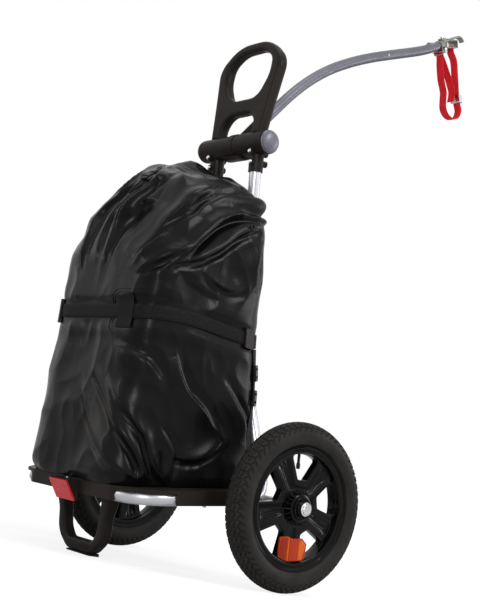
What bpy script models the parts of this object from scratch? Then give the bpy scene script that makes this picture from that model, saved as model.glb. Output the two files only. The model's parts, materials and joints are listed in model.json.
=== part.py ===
"""Two-wheeled cargo trailer for a bicycle, parked on its wheels and its rear foot.

Units are metres. +Z is up, +Y is forward (towards the bicycle) and +X is the trailer's right side.
The world origin is on the floor, midway between the two wheels. Every piece hangs from one empty at
the middle of the wheel axis, and that empty leans back until the foot's pad meets the floor. All the
values below are measured from the wheel axis, with the trailer upright and its tray level.
"""

import math

import bmesh
import bpy
from mathutils import Matrix, Vector

MODEL_NAME = "bike_cargo_trailer"
GAP = 0.0003
OVERCUT = 0.010
MERGE_DISTANCE = 0.00001
MOULDED_EDGE = 0.001
ROUND_END_SHARE = 0.97
SCREW_CROWN_SHARE = 0.6
SCREW_RIM_SHARE = 0.4

# Wheels
WHEEL_RADIUS = 0.152
WHEEL_TRACK = 0.528
TYRE_SECTION_RADIUS = 0.024
TYRE_WALL = 0.0035
TYRE_STEPS = 32
HUB_STEPS = 16
INNER_TUBE_GAP = 0.0020
RIM_HALF_WIDTH = 0.0155
RIM_FLANGE_WALL = 0.0024
TYRE_STAND = 0.040
RIM_FLANGE_RADIUS = WHEEL_RADIUS - TYRE_STAND
RIM_FLANGE_HEIGHT = 0.0105
RIM_SEAT_RADIUS = RIM_FLANGE_RADIUS - RIM_FLANGE_HEIGHT
RIM_WELL_DEPTH = 0.0023
RIM_WELL_RADIUS = RIM_SEAT_RADIUS - RIM_WELL_DEPTH
RIM_WELL_HALF_WIDTH = 0.0060
RIM_WALL = 0.0027
RIM_INNER_RADIUS = RIM_WELL_RADIUS - RIM_WALL
TYRE_LIP_GAP = 0.0010
BEAD_WIDTH = 0.0042
BEAD_NECK = 0.0028
BEAD_NECK_DROP = 0.003
WEB_HALF_WIDTH = 0.008
HUB_RADIUS = 0.025
HUB_HALF_WIDTH = 0.0235
HUB_SIDE_GAP = 0.0015
HUB_WEB_OVERLAP = 0.001
SPOKE_COUNT = 5
FIRST_WINDOW_ANGLE = math.radians(10)
WINDOW_HUB_MARGIN = 0.025
WINDOW_RIM_MARGIN = 0.0015
WINDOW_INNER_RADIUS = HUB_RADIUS + WINDOW_HUB_MARGIN
WINDOW_OUTER_RADIUS = RIM_INNER_RADIUS - WINDOW_RIM_MARGIN
WINDOW_INNER_HALF_ANGLE = math.radians(12)
WINDOW_OUTER_HALF_ANGLE = math.radians(20)
WINDOW_CORNER = 0.005
VALVE_ANGLE = math.radians(89)
VALVE_RADIUS = 0.0027
VALVE_REACH = 0.0312
VALVE_TIP_RADIUS = RIM_WELL_RADIUS - VALVE_REACH
VALVE_ROOT = 0.006
VALVE_BASE_RADIUS = 0.0040
VALVE_SHOULDER = 0.0007
VALVE_THREAD_STEP = 0.0008
VALVE_CAP_END_WALL = 0.0020
VALVE_CAP_EDGE = 0.0010
VALVE_CAP_LENGTH = 0.010
VALVE_CAP_RADIUS = 0.0037
SPOKE_REFLECTOR_ANGLE = math.radians(262)
SPOKE_REFLECTOR_THICKNESS = 0.0045
SPOKE_REFLECTOR_TURN = math.radians(18)
SPOKE_REFLECTOR_CHAMFER_TURN = math.radians(26)
SPOKE_REFLECTOR_HUB_MARGIN = 0.006
SPOKE_REFLECTOR_CHAMFER = 0.009
SPOKE_REFLECTOR_SHOULDER = 0.0020
SPOKE_REFLECTOR_CORNER = 0.003

# Wheel bearings and quick-release pins
BUSH_RADIUS = 0.0090
BUSH_FLANGE_RADIUS = 0.0150
BUSH_FLANGE = 0.0015
BUSH_TAIL = 0.0008
PIN_RADIUS = 0.0058
PIN_CLEARANCE = 0.0004
PIN_LENGTH_IN_SOCKET = 0.041
PIN_BORE_RADIUS = 0.0023
PIN_CUP_RADIUS = 0.0125
PIN_CUP_FLOOR = 0.0015
PIN_CUP_DEPTH = 0.006
PIN_EDGE = 0.001
PIN_END_WALL = 0.003
PIN_END_ROOM = 0.001
PIN_BUTTON_WALL = 0.003
PIN_BUTTON_RADIUS = 0.0095
PIN_BUTTON_THICKNESS = 0.0050
PIN_BUTTON_PROUD = 0.0023
PIN_BUTTON_TRAVEL = 0.003
RELEASE_SPRING_RADIUS = 0.0122
RELEASE_SPRING_WIRE = 0.0008
PIN_STEM_RADIUS = 0.0019
AXLE_SPRING_RADIUS = 0.0050
AXLE_SPRING_WIRE = 0.0005
LOCKING_BALL_RADIUS = 0.0021
LOCKING_BALL_OFFSET = 0.0047
LOCKING_BALL_SETBACK = 0.010
AXLE_SOCKET_RADIUS = 0.011

# Frame tube: one bent tube that makes the uprights and the loop under the tray
TUBE_RADIUS = 0.01175
UPRIGHT_X = 0.062
UPRIGHT_Y = 0.0105
UPRIGHT_TOP = 0.672
FLARE_TOP = 0.287
FLARE_ANGLE = math.radians(20.8)
FLARE_BEND = 0.070
LOOP_Z = 0.0034
LOOP_X = 0.1918
LOOP_SHOULDER_Y = -0.090
LOOP_REAR_Y = -0.2912
LOOP_CORNER = 0.0614
FOOT_BEND = 0.045
SHOULDER_BEND = 0.100
BRACE_RADIUS = 0.008
UPPER_BRACE_Z = 0.315
LOWER_BRACE_Z = 0.090
AXLE_BEAM_RADIUS = 0.010

# Tray
TRAY_LIP = 0.0033
TRAY_PLATE = 0.004
TRAY_SKIRT_DROP = 0.006
TRAY_REAR_SKIRT_X = 0.140
TRAY_SIDE_SKIRT_REAR_Y = -0.219
TRAY_SIDE_SKIRT_FRONT_Y = -0.060
TRAY_FRONT_Y = -0.004
TRAY_NOTCH_X = 0.140
TRAY_NOTCH_Y = -0.036
TRAY_FRONT_CORNER = 0.008
TRAY_NOTCH_CORNER = 0.006
TRAY_WINDOW_TOP = 0.0130
TRAY_SCREW_Y = -0.147
TRAY_SCREW_RADIUS = 0.0018
TRAY_SCREW_HEAD_RADIUS = 0.0036
TRAY_SCREW_HEAD = 0.0020
TRAY_SCREW_BITE_SHARE = 0.6

# Foot
FOOT_REAR_Y = -0.276
FOOT_DEPTH = 0.022
FOOT_ROUNDING = 0.002
FOOT_OUTLINE = ((0.0885, -0.022, 0.020), (0.0775, -0.045, 0.030), (0.0745, -0.087, 0.020), (0.040, -0.114, 0.030))
FOOT_INNER = ((0.0595, -0.030, 0.030), (0.0535, -0.0745, 0.015), (0.0395, -0.0925, 0.015))
FOOT_INNER_TOP_X = 0.0605
FOOT_PAD_HALF_WIDTH = 0.038
FOOT_PAD_THIN_EDGE = 0.0025

# Rear reflector
HOLDER_HALF_WIDTH = 0.0315
HOLDER_TOP_Z = 0.0165
HOLDER_BOTTOM_Z = -0.0205
HOLDER_TOP_Y = -0.3297
HOLDER_BOTTOM_Y = -0.3087
REFLECTOR_HALF_WIDTH = 0.0290
REFLECTOR_THICKNESS = 0.0035
REFLECTOR_MARGIN_SHARE = 0.03
LEDGE_HALF_WIDTH = 0.012
LEDGE_TOP_Z = 0.0120
LEDGE_THICKNESS = 0.0040
LEDGE_REACH = 0.010
HOLDER_SCREW_Y = -0.3112
HOLDER_SCREW_RADIUS = 0.0015
HOLDER_SCREW_HEAD_RADIUS = 0.0032
HOLDER_SCREW_HEAD = 0.0018
HOLDER_HOLE_MARGIN = 0.002
HOLDER_HEEL = 0.002
HOLDER_SCREW_BITE_SHARE = 0.8

# Hinge head between the uprights and the handle
HEAD_Y = 0.0092
HEAD_Z = 0.6838
HEAD_RADIUS = 0.024
HEAD_STEPS = 24
HEAD_HALF_WIDTH = 0.096
HUB_BAND_HALF_WIDTH = 0.0085
HUB_BAND_STEP = 0.0016
HUB_BAND_RADIUS = HEAD_RADIUS + HUB_BAND_STEP
SHAFT_RADIUS = 0.006
SHAFT_SETBACK = 0.011
SHAFT_HALF_LENGTH = HEAD_HALF_WIDTH - SHAFT_SETBACK
STEM_RADIUS = 0.0095
STEM_CLEARANCE = 0.004
STEM_START = 0.0063
SPRING_POCKET_DEPTH = 0.018
SPRING_SHOULDER = HEAD_HALF_WIDTH - SPRING_POCKET_DEPTH
SPRING_POCKET_RADIUS = 0.016
BUTTON_STEP = 0.0008
BUTTON_RADIUS = HEAD_RADIUS - BUTTON_STEP
BUTTON_TRAVEL = 0.003
BUTTON_RIM = HEAD_HALF_WIDTH + BUTTON_TRAVEL + GAP
BUTTON_DOME = 0.0085
BUTTON_SPIGOT_CLEARANCE = 0.0004
BUTTON_SPIGOT_RADIUS = SPRING_POCKET_RADIUS - BUTTON_SPIGOT_CLEARANCE
BUTTON_SPIGOT_DEPTH = 0.0055
BUTTON_SPIGOT_END = HEAD_HALF_WIDTH - BUTTON_SPIGOT_DEPTH
SOCKET_RADIUS = 0.0145
SOCKET_BOTTOM = 0.627
CLAMP_BOLT_X = 0.0655
CLAMP_BOLTS = {"upper": (0.6655, 0.0215), "lower": (0.6455, 0.0170)}
CLAMP_BOLT_RADIUS = 0.0022
CLAMP_BOLT_HEAD_RADIUS = 0.0044
CLAMP_BOLT_HEAD = 0.0030
CLAMP_BLIND_END = 0.0030
CLAMP_BOSS_RADIUS = 0.0066
CLAMP_FRONT_REACH = 0.0215
SADDLE_HALF_WIDTH = 0.024
SADDLE_WALL = 0.005
SADDLE_RADIUS = HEAD_RADIUS + SADDLE_WALL
SADDLE_START = math.radians(-125)
SADDLE_END = math.radians(78)

# Handle
HANDLE_LEAN = math.radians(8.8)
HANDLE_BASE_Z = 0.705
HANDLE_THICKNESS = 0.024
HANDLE_ROUNDING = 0.0085
HANDLE_TRIM_Z = HEAD_Z + 0.010
# Right halves of the handle's outlines: (x, height up its plane, corner radius)
HANDLE_OUTER = (
    (0.0765, -0.030, 0),
    (0.0785, 0.000, 0.200),
    (0.0865, 0.070, 0.250),
    (0.0985, 0.156, 0.045),
    (0.0480, 0.2013, 0.085),
    (0, 0.2013, 0),
)
HANDLE_ARCH = ((0.0480, -0.030, 0), (0.0480, 0.0450, 0.030), (0, 0.0450, 0))
HANDLE_OPENING = (
    (0, 0.0780, 0),
    (0.0420, 0.0780, 0.035),
    (0.0660, 0.1230, 0.055),
    (0.0650, 0.1590, 0.028),
    (0.0360, 0.1812, 0.060),
    (0, 0.1812, 0),
)
HANDLE_PEG_RADIUS = 0.006
HANDLE_PEG_DEPTH = 0.007
HANDLE_PEG_ROOT = 0.008

# Tow bar
BAR_RADIUS = 0.011
BAR_WALL = 0.0018
BAR_START = 0.030
BAR_SOCKET_END = 0.074
BAR_SOCKET_RADIUS = 0.0145
BAR_SOCKET_ROOT = 0.002
BAR_STRAIGHT = 0.020
BAR_ANGLE = math.radians(47.2)
BAR_ROUTE = (
    (0.1381, 0.8199),
    (0.1903, 0.8651),
    (0.2454, 0.9026),
    (0.3043, 0.9334),
    (0.3647, 0.9595),
    (0.4275, 0.9827),
    (0.5258, 1.0180),
)
BAR_END = (0.5850, 1.0446)
BAR_END_ANGLE = math.radians(14.4)
BAR_RIVET = (0.4126, 0.9772)
BAR_RIVET_RADIUS = 0.0024
BAR_RIVET_HEAD = 0.0008
BAR_BORE_DEPTH = 0.036

# Hitch, measured along the bar's end direction (u) and square to it (n)
HITCH_PLUG_RADIUS = 0.0128
HITCH_PLUG_COLLAR = 0.004
HITCH_PLUG_END_ROOM = 0.004
STRAP_EYE_DEPTH = 0.0212
STRAP_EYE_HALF_WIDTH = 0.0130
STRAP_EYE_MIDDLE = -0.0162
STRAP_EYE_HALF_HEIGHT = 0.0026
TONGUE_HALF_WIDTH = 0.009
TONGUE_BOTTOM = -0.0032
TONGUE_TOP = 0.0102
HITCH_BOLT_U = 0.0225
HITCH_BOLT_RADIUS = 0.004
HITCH_BOLT_HEAD = 0.0050
HITCH_BOLT_HEAD_RADIUS = 0.0068
HITCH_NUT_RADIUS = 0.0075
HITCH_NUT_HEIGHT = 0.0085
HITCH_BOLT_TAIL = 0.0015
BRACKET_HALF_WIDTH = 0.0135
BRACKET_WIDTH = 2 * BRACKET_HALF_WIDTH
BRACKET_CORNER = 0.003
BRACKET_INNER_CORNER = 0.001
BRACKET_START = 0.0110
BRACKET_END = 0.0595
BRACKET_WALL = 0.0026
STRAP_SLOT_U = 0.0455
STRAP_SLOT_WIDTH = 0.0052
HOOK_WIDTH = 0.012
HOOK_THICKNESS = 0.0045
HOOK_ROUTE = ((0.0115, 0.0), (0.050, 0.0), (0.0605, 0.0045), (0.0745, 0.0068), (0.0862, 0.0030), (0.0915, -0.0055))
BUMPER_RADIUS = 0.0032
BUMPER_LENGTH = 0.0085
BUMPER_N = 0.0075

# Safety strap: it hangs in the plane X = 0, and its route is a list of (y, z)
STRAP_WIDTH = 0.020
STRAP_THICKNESS = 0.0018
STRAP_ROUTE = (
    (0.5810, 1.0279),
    (0.5885, 1.0299),
    (0.5938, 1.0285),
    (0.5968, 1.0190),
    (0.5990, 1.0000),
    (0.6063, 0.9690),
    (0.6176, 0.9429),
    (0.6187, 0.9237),
    (0.6205, 0.9044),
    (0.6310, 0.8905),
    (0.6490, 0.8845),
    (0.6667, 0.8897),
    (0.6752, 0.9081),
    (0.6685, 0.9260),
    (0.6622, 0.9461),
    (0.6556, 0.9812),
    (0.6466, 1.0230),
    (0.6340, 1.0400),
    (0.6306, 1.0500),
    (0.6293, 1.0551),
)
STRAP_TAIL = ((0.5935, 1.0287), (0.6020, 1.0190), (0.6219, 0.9923), (0.6397, 0.9651), (0.6480, 0.9478), (0.6460, 0.9252))
STRAP_BUCKLE = (0.6650, 0.9360)
STRAP_BUCKLE_ANGLE = math.radians(107.5)
STRAP_BUCKLE_LENGTH = 0.018
STRAP_BUCKLE_HALF_WIDTH = 0.0135
STRAP_BUCKLE_DEPTH = 0.009
STRAP_BUCKLE_SLOT = 0.0026
STRAP_SIDE_PLAY = 0.0008
STRAP_LEVER_LENGTH = 0.017
STRAP_LEVER_KNUCKLE = 0.0022
STRAP_LEVER_TIP = 0.0011
STRAP_LEVER_INSET = 0.003

# Bag: (height, middle x, half width, front y, rear y, squareness)
BAG_SECTIONS = (
    (0.0200, 0.000, 0.158, -0.012, -0.3090, 6.0),
    (0.0360, 0.000, 0.164, -0.007, -0.3170, 6.0),
    (0.0900, 0.000, 0.163, -0.005, -0.3115, 6.0),
    (0.1700, 0.000, 0.1625, -0.005, -0.3015, 6.0),
    (0.2700, 0.000, 0.161, -0.005, -0.2905, 6.0),
    (0.3490, 0.000, 0.159, -0.005, -0.2850, 6.0),
    (0.4300, 0.000, 0.1605, -0.005, -0.2730, 6.0),
    (0.4950, 0.000, 0.156, -0.005, -0.2390, 6.0),
    (0.5450, 0.000, 0.147, -0.005, -0.2095, 5.0),
    (0.5800, -0.004, 0.112, -0.008, -0.1960, 4.0),
    (0.6020, -0.025, 0.078, -0.020, -0.1780, 3.0),
    (0.6180, -0.040, 0.040, -0.050, -0.1350, 2.5),
)
BAG_SIDES = 28
BELT_Z = 0.3205
BELT_DROP = 0.030
BELT_HEIGHT = 0.025
BELT_THICKNESS = 0.0018
BELT_GAP = 0.0006
BELT_FALL_START = -0.150
BELT_FALL_END = -0.030
KEEPER_HEIGHT = 0.052
KEEPER_WALL = 0.0022
KEEPER_ANGLES = (math.radians(-78), math.radians(-57))
SLIDERS = {
    "rear": (math.radians(-142), math.radians(-118), 0.045),
    "front": (math.radians(12), math.radians(25), 0.034),
}

# Colours, roughness and metallic values
LOOKS = {
    "rubber": ((0.030, 0.030, 0.031), 0.75, 0.0),
    "wheel_plastic": ((0.022, 0.022, 0.023), 0.32, 0.0),
    "black_plastic": ((0.045, 0.041, 0.038), 0.55, 0.0),
    "silver_paint": ((0.62, 0.62, 0.63), 0.38, 0.6),
    "grey_paint": ((0.36, 0.37, 0.40), 0.42, 0.5),
    "steel": ((0.70, 0.70, 0.71), 0.25, 1.0),
    "dark_steel": ((0.20, 0.20, 0.19), 0.38, 0.9),
    "cap_grey": ((0.33, 0.34, 0.36), 0.45, 0.1),
    "red_lens": ((0.62, 0.03, 0.04), 0.20, 0.0),
    "amber_lens": ((0.78, 0.17, 0.03), 0.22, 0.0),
    "red_webbing": ((0.68, 0.02, 0.03), 0.80, 0.0),
    "black_webbing": ((0.028, 0.028, 0.029), 0.80, 0.0),
    "tarpaulin": ((0.035, 0.035, 0.037), 0.33, 0.0),
}


def lean_back_angle():
    """Angle that turns the trailer about the wheel axis until the thin edge of the pad is on the floor."""
    reach = -FOOT_REAR_Y
    drop = -foot_bottom() + GAP + FOOT_PAD_THIN_EDGE
    return math.atan2(reach, drop) - math.acos(WHEEL_RADIUS / math.hypot(reach, drop))


def foot_bottom():
    return FOOT_OUTLINE[-1][1]


def floor_height(y):
    """Height of the floor plane at y, in the leaning trailer's own frame."""
    lean = lean_back_angle()
    return -(WHEEL_RADIUS + y * math.sin(lean)) / math.cos(lean)


def clear_scene():
    for old in list(bpy.data.objects):
        bpy.data.objects.remove(old, do_unlink=True)


def make_collection(name):
    made = bpy.data.collections.new(name)
    bpy.context.scene.collection.children.link(made)
    return made


def make_empty(name, location, rotation=(0, 0, 0), parent=None):
    empty = bpy.data.objects.new(name, None)
    empty.location = location
    empty.rotation_euler = rotation
    empty.parent = parent
    parts.objects.link(empty)
    return empty


def paint(obj, look):
    colour, roughness, metallic = LOOKS[look]
    material = bpy.data.materials.new(obj.name)
    material.use_nodes = True
    shader = material.node_tree.nodes["Principled BSDF"]
    shader.inputs["Base Color"].default_value = (*colour, 1.0)
    shader.inputs["Roughness"].default_value = roughness
    shader.inputs["Metallic"].default_value = metallic
    obj.data.materials.clear()
    obj.data.materials.append(material)


def link(name, data, look, parent, location=(0, 0, 0), rotation=(0, 0, 0)):
    """Adds one piece to the model. A look of None makes it a hidden cutter or helper."""
    obj = bpy.data.objects.new(name, data)
    obj.location = location
    obj.rotation_euler = rotation
    obj.parent = parent
    if look is None:
        cutters.objects.link(obj)
        obj.hide_render = True
        obj.display_type = "WIRE"
    else:
        parts.objects.link(obj)
        paint(obj, look)
    return obj


def soften(obj, angle=40):
    obj.data.shade_smooth()
    obj.data.set_sharp_from_angle(angle=math.radians(angle))


def evaluated_mesh(obj):
    """The object's mesh with its modifiers or its curve bevel applied, and its caps welded."""
    bpy.context.view_layer.update()
    graph = bpy.context.evaluated_depsgraph_get()
    mesh = bpy.data.meshes.new_from_object(obj.evaluated_get(graph))
    work = bmesh.new()
    work.from_mesh(mesh)
    bmesh.ops.remove_doubles(work, verts=work.verts, dist=MERGE_DISTANCE)
    bmesh.ops.recalc_face_normals(work, faces=work.faces)
    work.to_mesh(mesh)
    work.free()
    return mesh


def mesh_in_place_of(obj):
    """Swaps a curve, or an object with modifiers, for a mesh object with the same name and place."""
    name, look_up, parent = obj.name, list(obj.data.materials), obj.parent
    location, rotation = obj.location.copy(), obj.rotation_euler.copy()
    collection = obj.users_collection[0]
    hidden = obj.hide_render
    mesh = evaluated_mesh(obj)
    bpy.data.objects.remove(obj)
    made = bpy.data.objects.new(name, mesh)
    made.location = location
    made.rotation_euler = rotation
    made.parent = parent
    collection.objects.link(made)
    mesh.materials.clear()
    for material in look_up:
        mesh.materials.append(material)
    if hidden:
        made.hide_render = True
        made.display_type = "WIRE"
    return made


def boolean(obj, other, operation):
    modifier = obj.modifiers.new(operation.lower() + "_" + other.name, "BOOLEAN")
    modifier.operation = operation
    modifier.solver = "EXACT"
    modifier.object = other
    return obj


def cut(obj, cutter):
    return boolean(obj, cutter, "DIFFERENCE")


def unite(obj, other):
    return boolean(obj, other, "UNION")


def box(name, low, high, look, parent, bevel=0.0, location=(0, 0, 0), rotation=(0, 0, 0)):
    """A box between two corners, with its edges bevelled if a width is given."""
    low, high = Vector(low), Vector(high)
    work = bmesh.new()
    size = Matrix.Diagonal((*(high - low), 1))
    bmesh.ops.create_cube(work, size=1, matrix=Matrix.Translation((low + high) / 2) @ size)
    mesh = bpy.data.meshes.new(name)
    work.to_mesh(mesh)
    work.free()
    obj = link(name, mesh, look, parent, location, rotation)
    if bevel:
        modifier = obj.modifiers.new("edges", "BEVEL")
        modifier.width = bevel
        modifier.segments = 2
    return obj


def rod(name, radius, start, end, look, parent, segments=16, location=(0, 0, 0), rotation=(0, 0, 0)):
    """A cylinder from one point to another."""
    start, end = Vector(start), Vector(end)
    direction = end - start
    turn = direction.to_track_quat("Z", "Y").to_matrix().to_4x4()
    work = bmesh.new()
    bmesh.ops.create_cone(
        work,
        cap_ends=True,
        segments=segments,
        radius1=radius,
        radius2=radius,
        depth=direction.length,
        matrix=Matrix.Translation((start + end) / 2) @ turn,
    )
    mesh = bpy.data.meshes.new(name)
    work.to_mesh(mesh)
    work.free()
    obj = link(name, mesh, look, parent, location, rotation)
    soften(obj)
    return obj


def turned(name, profile, look, parent, axis="X", steps=24, location=(0, 0, 0), rotation=(0, 0, 0)):
    """A turned piece. The profile is (distance along the axis, radius), from the far end down its outer side."""
    along = "XYZ".index(axis)
    work = bmesh.new()
    corners = []
    for distance, radius in profile:
        point = [0.0, 0.0, 0.0]
        point[along] = distance
        point[(along + 1) % 3] = radius
        corners.append(work.verts.new(point))
    for first, second in zip(corners, corners[1:]):
        work.edges.new((first, second))
    if profile[0][1] > 0:
        work.edges.new((corners[-1], corners[0]))
    mesh = bpy.data.meshes.new(name)
    work.to_mesh(mesh)
    work.free()
    obj = link(name, mesh, look, parent, location, rotation)
    modifier = obj.modifiers.new("turn", "SCREW")
    modifier.axis = axis
    modifier.steps = steps
    modifier.render_steps = steps
    modifier.use_merge_vertices = True
    modifier.merge_threshold = MERGE_DISTANCE
    made = mesh_in_place_of(obj)
    soften(made)
    return made


def tube(name, points, radius, look, parent, resolution=3, location=(0, 0, 0)):
    """A round tube, wire or rail along a list of points."""
    curve = bpy.data.curves.new(name, "CURVE")
    curve.dimensions = "3D"
    curve.bevel_depth = radius
    curve.bevel_resolution = resolution
    curve.use_fill_caps = True
    spline = curve.splines.new("POLY")
    spline.points.add(len(points) - 1)
    for slot, point in zip(spline.points, points):
        slot.co = (*point, 1)
    made = mesh_in_place_of(link(name, curve, look, parent, location))
    soften(made)
    return made


def plate(
    name,
    outline,
    thickness,
    look,
    parent,
    holes=(),
    matrix=None,
    rounding=0.0,
    location=(0, 0, 0),
    rotation=(0, 0, 0),
):
    """A flat outline with holes, extruded half its thickness to each side of its plane."""
    curve = bpy.data.curves.new(name, "CURVE")
    curve.dimensions = "2D"
    curve.fill_mode = "BOTH"
    curve.extrude = thickness / 2 - rounding
    curve.bevel_depth = rounding
    curve.bevel_resolution = 1
    curve.offset = -rounding
    for loop in (outline, *holes):
        spline = curve.splines.new("POLY")
        spline.points.add(len(loop) - 1)
        spline.use_cyclic_u = True
        for slot, point in zip(spline.points, loop):
            slot.co = (point[0], point[1], 0, 1)
    made = mesh_in_place_of(link(name, curve, look, parent, location, rotation))
    if matrix is not None:
        made.data.transform(matrix)
    soften(made)
    return made


def rounded(corners, closed=True, step=math.radians(30)):
    """Points of a path whose corners (x, y[, z], radius) are turned into arcs."""
    spots = [Vector(corner[:-1]) for corner in corners]
    made = []
    for index, corner in enumerate(corners):
        here, radius = spots[index], corner[-1]
        ends_here = not closed and index in (0, len(corners) - 1)
        before = (spots[index - 1] - here).normalized()
        after = (spots[(index + 1) % len(spots)] - here).normalized()
        turn = math.pi - before.angle(after)
        if radius == 0 or ends_here or turn < math.radians(1):
            made.append(here)
            continue
        reach = radius * math.tan(turn / 2)
        centre = here + (before + after).normalized() * (radius / math.cos(turn / 2))
        first = here + before * reach - centre
        last = here + after * reach - centre
        count = max(1, round(turn / step))
        for part in range(count + 1):
            share = part / count
            ahead = math.sin((1 - share) * turn) / math.sin(turn)
            behind = math.sin(share * turn) / math.sin(turn)
            made.append(centre + first * ahead + last * behind)
    return made


def mirrored(points):
    """A half outline or path, from the right-hand end inwards, followed by its mirror image."""
    return [*points, *((-point[0], *point[1:]) for point in reversed(points))]


def polar(radius, angle):
    return (radius * math.cos(angle), radius * math.sin(angle))


def arc(radius, start, end, count, centre=(0, 0)):
    turned_points = []
    for part in range(count + 1):
        x, y = polar(radius, start + (end - start) * part / count)
        turned_points.append((centre[0] + x, centre[1] + y))
    return turned_points


def copies(name, template, places, parent):
    """One cutter made of the template's mesh at each of the places."""
    source = evaluated_mesh(template)
    bpy.data.objects.remove(template)
    work = bmesh.new()
    for place in places:
        single = source.copy()
        single.transform(place)
        work.from_mesh(single)
    mesh = bpy.data.meshes.new(name)
    work.to_mesh(mesh)
    work.free()
    return link(name, mesh, None, parent)


def screw(name, head_radius, head_height, radius, length, look, parent, location, direction, steps=16):
    """A screw at a place. Its head stands up from the place in the given direction, and its shank goes down."""
    profile = (
        (head_height, 0.0),
        (head_height, head_radius * SCREW_CROWN_SHARE),
        (head_height * SCREW_RIM_SHARE, head_radius),
        (0.0, head_radius),
        (0.0, radius),
        (-length, radius),
        (-length, 0.0),
    )
    turn = Vector(direction).to_track_quat("X", "Z").to_euler()
    return turned(name, profile, look, parent, steps=steps, location=location, rotation=turn)


def upright_and_flare():
    """Right half of the frame tube, from the top of the upright to the middle of the rear run."""
    flare_foot_x = UPRIGHT_X + (FLARE_TOP - LOOP_Z) * math.tan(FLARE_ANGLE)
    return (
        (UPRIGHT_X, UPRIGHT_Y, UPRIGHT_TOP, 0),
        (UPRIGHT_X, UPRIGHT_Y, FLARE_TOP, FLARE_BEND),
        (flare_foot_x, UPRIGHT_Y, LOOP_Z, FOOT_BEND),
        (LOOP_X, LOOP_SHOULDER_Y, LOOP_Z, SHOULDER_BEND),
        (LOOP_X, LOOP_REAR_Y, LOOP_Z, LOOP_CORNER),
        (0, LOOP_REAR_Y, LOOP_Z, 0),
    )


def frame_path():
    half = [tuple(point) for point in rounded(upright_and_flare(), closed=False)]
    return mirrored(half[:-1])


def make_frame():
    """Welded frame: the bent tube, the beam on the wheel axis and the two sockets for the wheels' axles."""
    path = frame_path()
    frame = tube("frame", path, TUBE_RADIUS, "silver_paint", trailer)
    cope = tube("frame_tube_cope", path, TUBE_RADIUS + GAP, None, trailer)
    reach = beam_reach()
    unite(frame, rod("axle_beam", AXLE_BEAM_RADIUS, (-reach, 0, 0), (reach, 0, 0), None, trailer))
    for side_name, side in (("right", 1), ("left", -1)):
        place = wheel_place(side)
        ends = (axle_socket_end(), -WHEEL_TRACK / 2 + reach)
        start, end = (ends[0], 0, 0), (ends[1], 0, 0)
        unite(frame, rod("axle_socket_" + side_name, AXLE_SOCKET_RADIUS, start, end, None, trailer, **place))
        cut(frame, turned("socket_bore_" + side_name, socket_bore_profile(), None, trailer, steps=20, **place))
    for name, reach, z in (
        ("upper_cross_brace", UPRIGHT_X, UPPER_BRACE_Z),
        ("lower_cross_brace", brace_reach(LOWER_BRACE_Z), LOWER_BRACE_Z),
    ):
        start, end = (-reach, UPRIGHT_Y, z), (reach, UPRIGHT_Y, z)
        cut(rod(name, BRACE_RADIUS, start, end, "silver_paint", trailer), cope)
    bolt_holes = bolt_hole_cutter()
    screw_holes = tray_screw_holes()
    cut(frame, bolt_holes)
    cut(frame, screw_holes)
    return bolt_holes, screw_holes


def wheel_place(side):
    """Place of a wheel: its own X axis points outboard on both sides."""
    return {"location": (side * WHEEL_TRACK / 2, 0, 0), "rotation": (0, 0, 0 if side > 0 else math.pi)}


def axle_socket_end():
    return -HUB_HALF_WIDTH - HUB_SIDE_GAP


def socket_bore_profile():
    """Bore of a wheel socket, with a groove for the locking ball, open at the wheel's side."""
    bore = PIN_RADIUS + PIN_CLEARANCE
    groove_half = LOCKING_BALL_RADIUS + GAP
    groove = LOCKING_BALL_OFFSET + LOCKING_BALL_RADIUS + GAP
    return (
        (axle_socket_end() + OVERCUT, 0.0),
        (axle_socket_end() + OVERCUT, bore),
        (ball_place() + groove_half, bore),
        (ball_place() + groove_half, groove),
        (ball_place() - groove_half, groove),
        (ball_place() - groove_half, bore),
        (pin_inner_end() - PIN_END_ROOM, bore),
        (pin_inner_end() - PIN_END_ROOM, 0.0),
    )


def brace_reach(z):
    return UPRIGHT_X + (FLARE_TOP - z) * math.tan(FLARE_ANGLE)


def beam_reach():
    """Distance from the middle to the frame tube's centre line, level with the wheel axis."""
    flare_foot_x = brace_reach(LOOP_Z)
    share = UPRIGHT_Y / (UPRIGHT_Y - LOOP_SHOULDER_Y)
    return flare_foot_x + (LOOP_X - flare_foot_x) * share


def tray_screw_spot(side):
    """Underside of the frame tube's side run, where a tray screw's head sits."""
    return Vector((side * LOOP_X, TRAY_SCREW_Y, LOOP_Z - TUBE_RADIUS - GAP))


def tray_screw_length():
    return 2 * TUBE_RADIUS + GAP + TRAY_PLATE * TRAY_SCREW_BITE_SHARE


def tray_screw_holes():
    low, high = (0, 0, -2 * TRAY_SCREW_HEAD), (0, 0, tray_screw_length() + 2 * GAP)
    template = rod("tray_screw_hole", TRAY_SCREW_RADIUS + GAP, low, high, None, None, segments=12)
    places = [Matrix.Translation(tray_screw_spot(side)) for side in (1, -1)]
    return copies("tray_screw_holes", template, places, trailer)


def tray_outline(grow):
    """Outline of the tray, a distance outside the frame tube's outer edge."""
    out = TUBE_RADIUS + grow
    corners = (
        (TRAY_NOTCH_X, TRAY_FRONT_Y, TRAY_FRONT_CORNER),
        (TRAY_NOTCH_X, TRAY_NOTCH_Y, TRAY_NOTCH_CORNER),
        (LOOP_X + out, TRAY_NOTCH_Y, TRAY_NOTCH_CORNER),
        (LOOP_X + out, LOOP_REAR_Y - out, LOOP_CORNER + out),
    )
    half = [tuple(point) for point in rounded(list(corners) + [(0, LOOP_REAR_Y - out, 0)], closed=False)]
    return mirrored(half[:-1])


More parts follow.
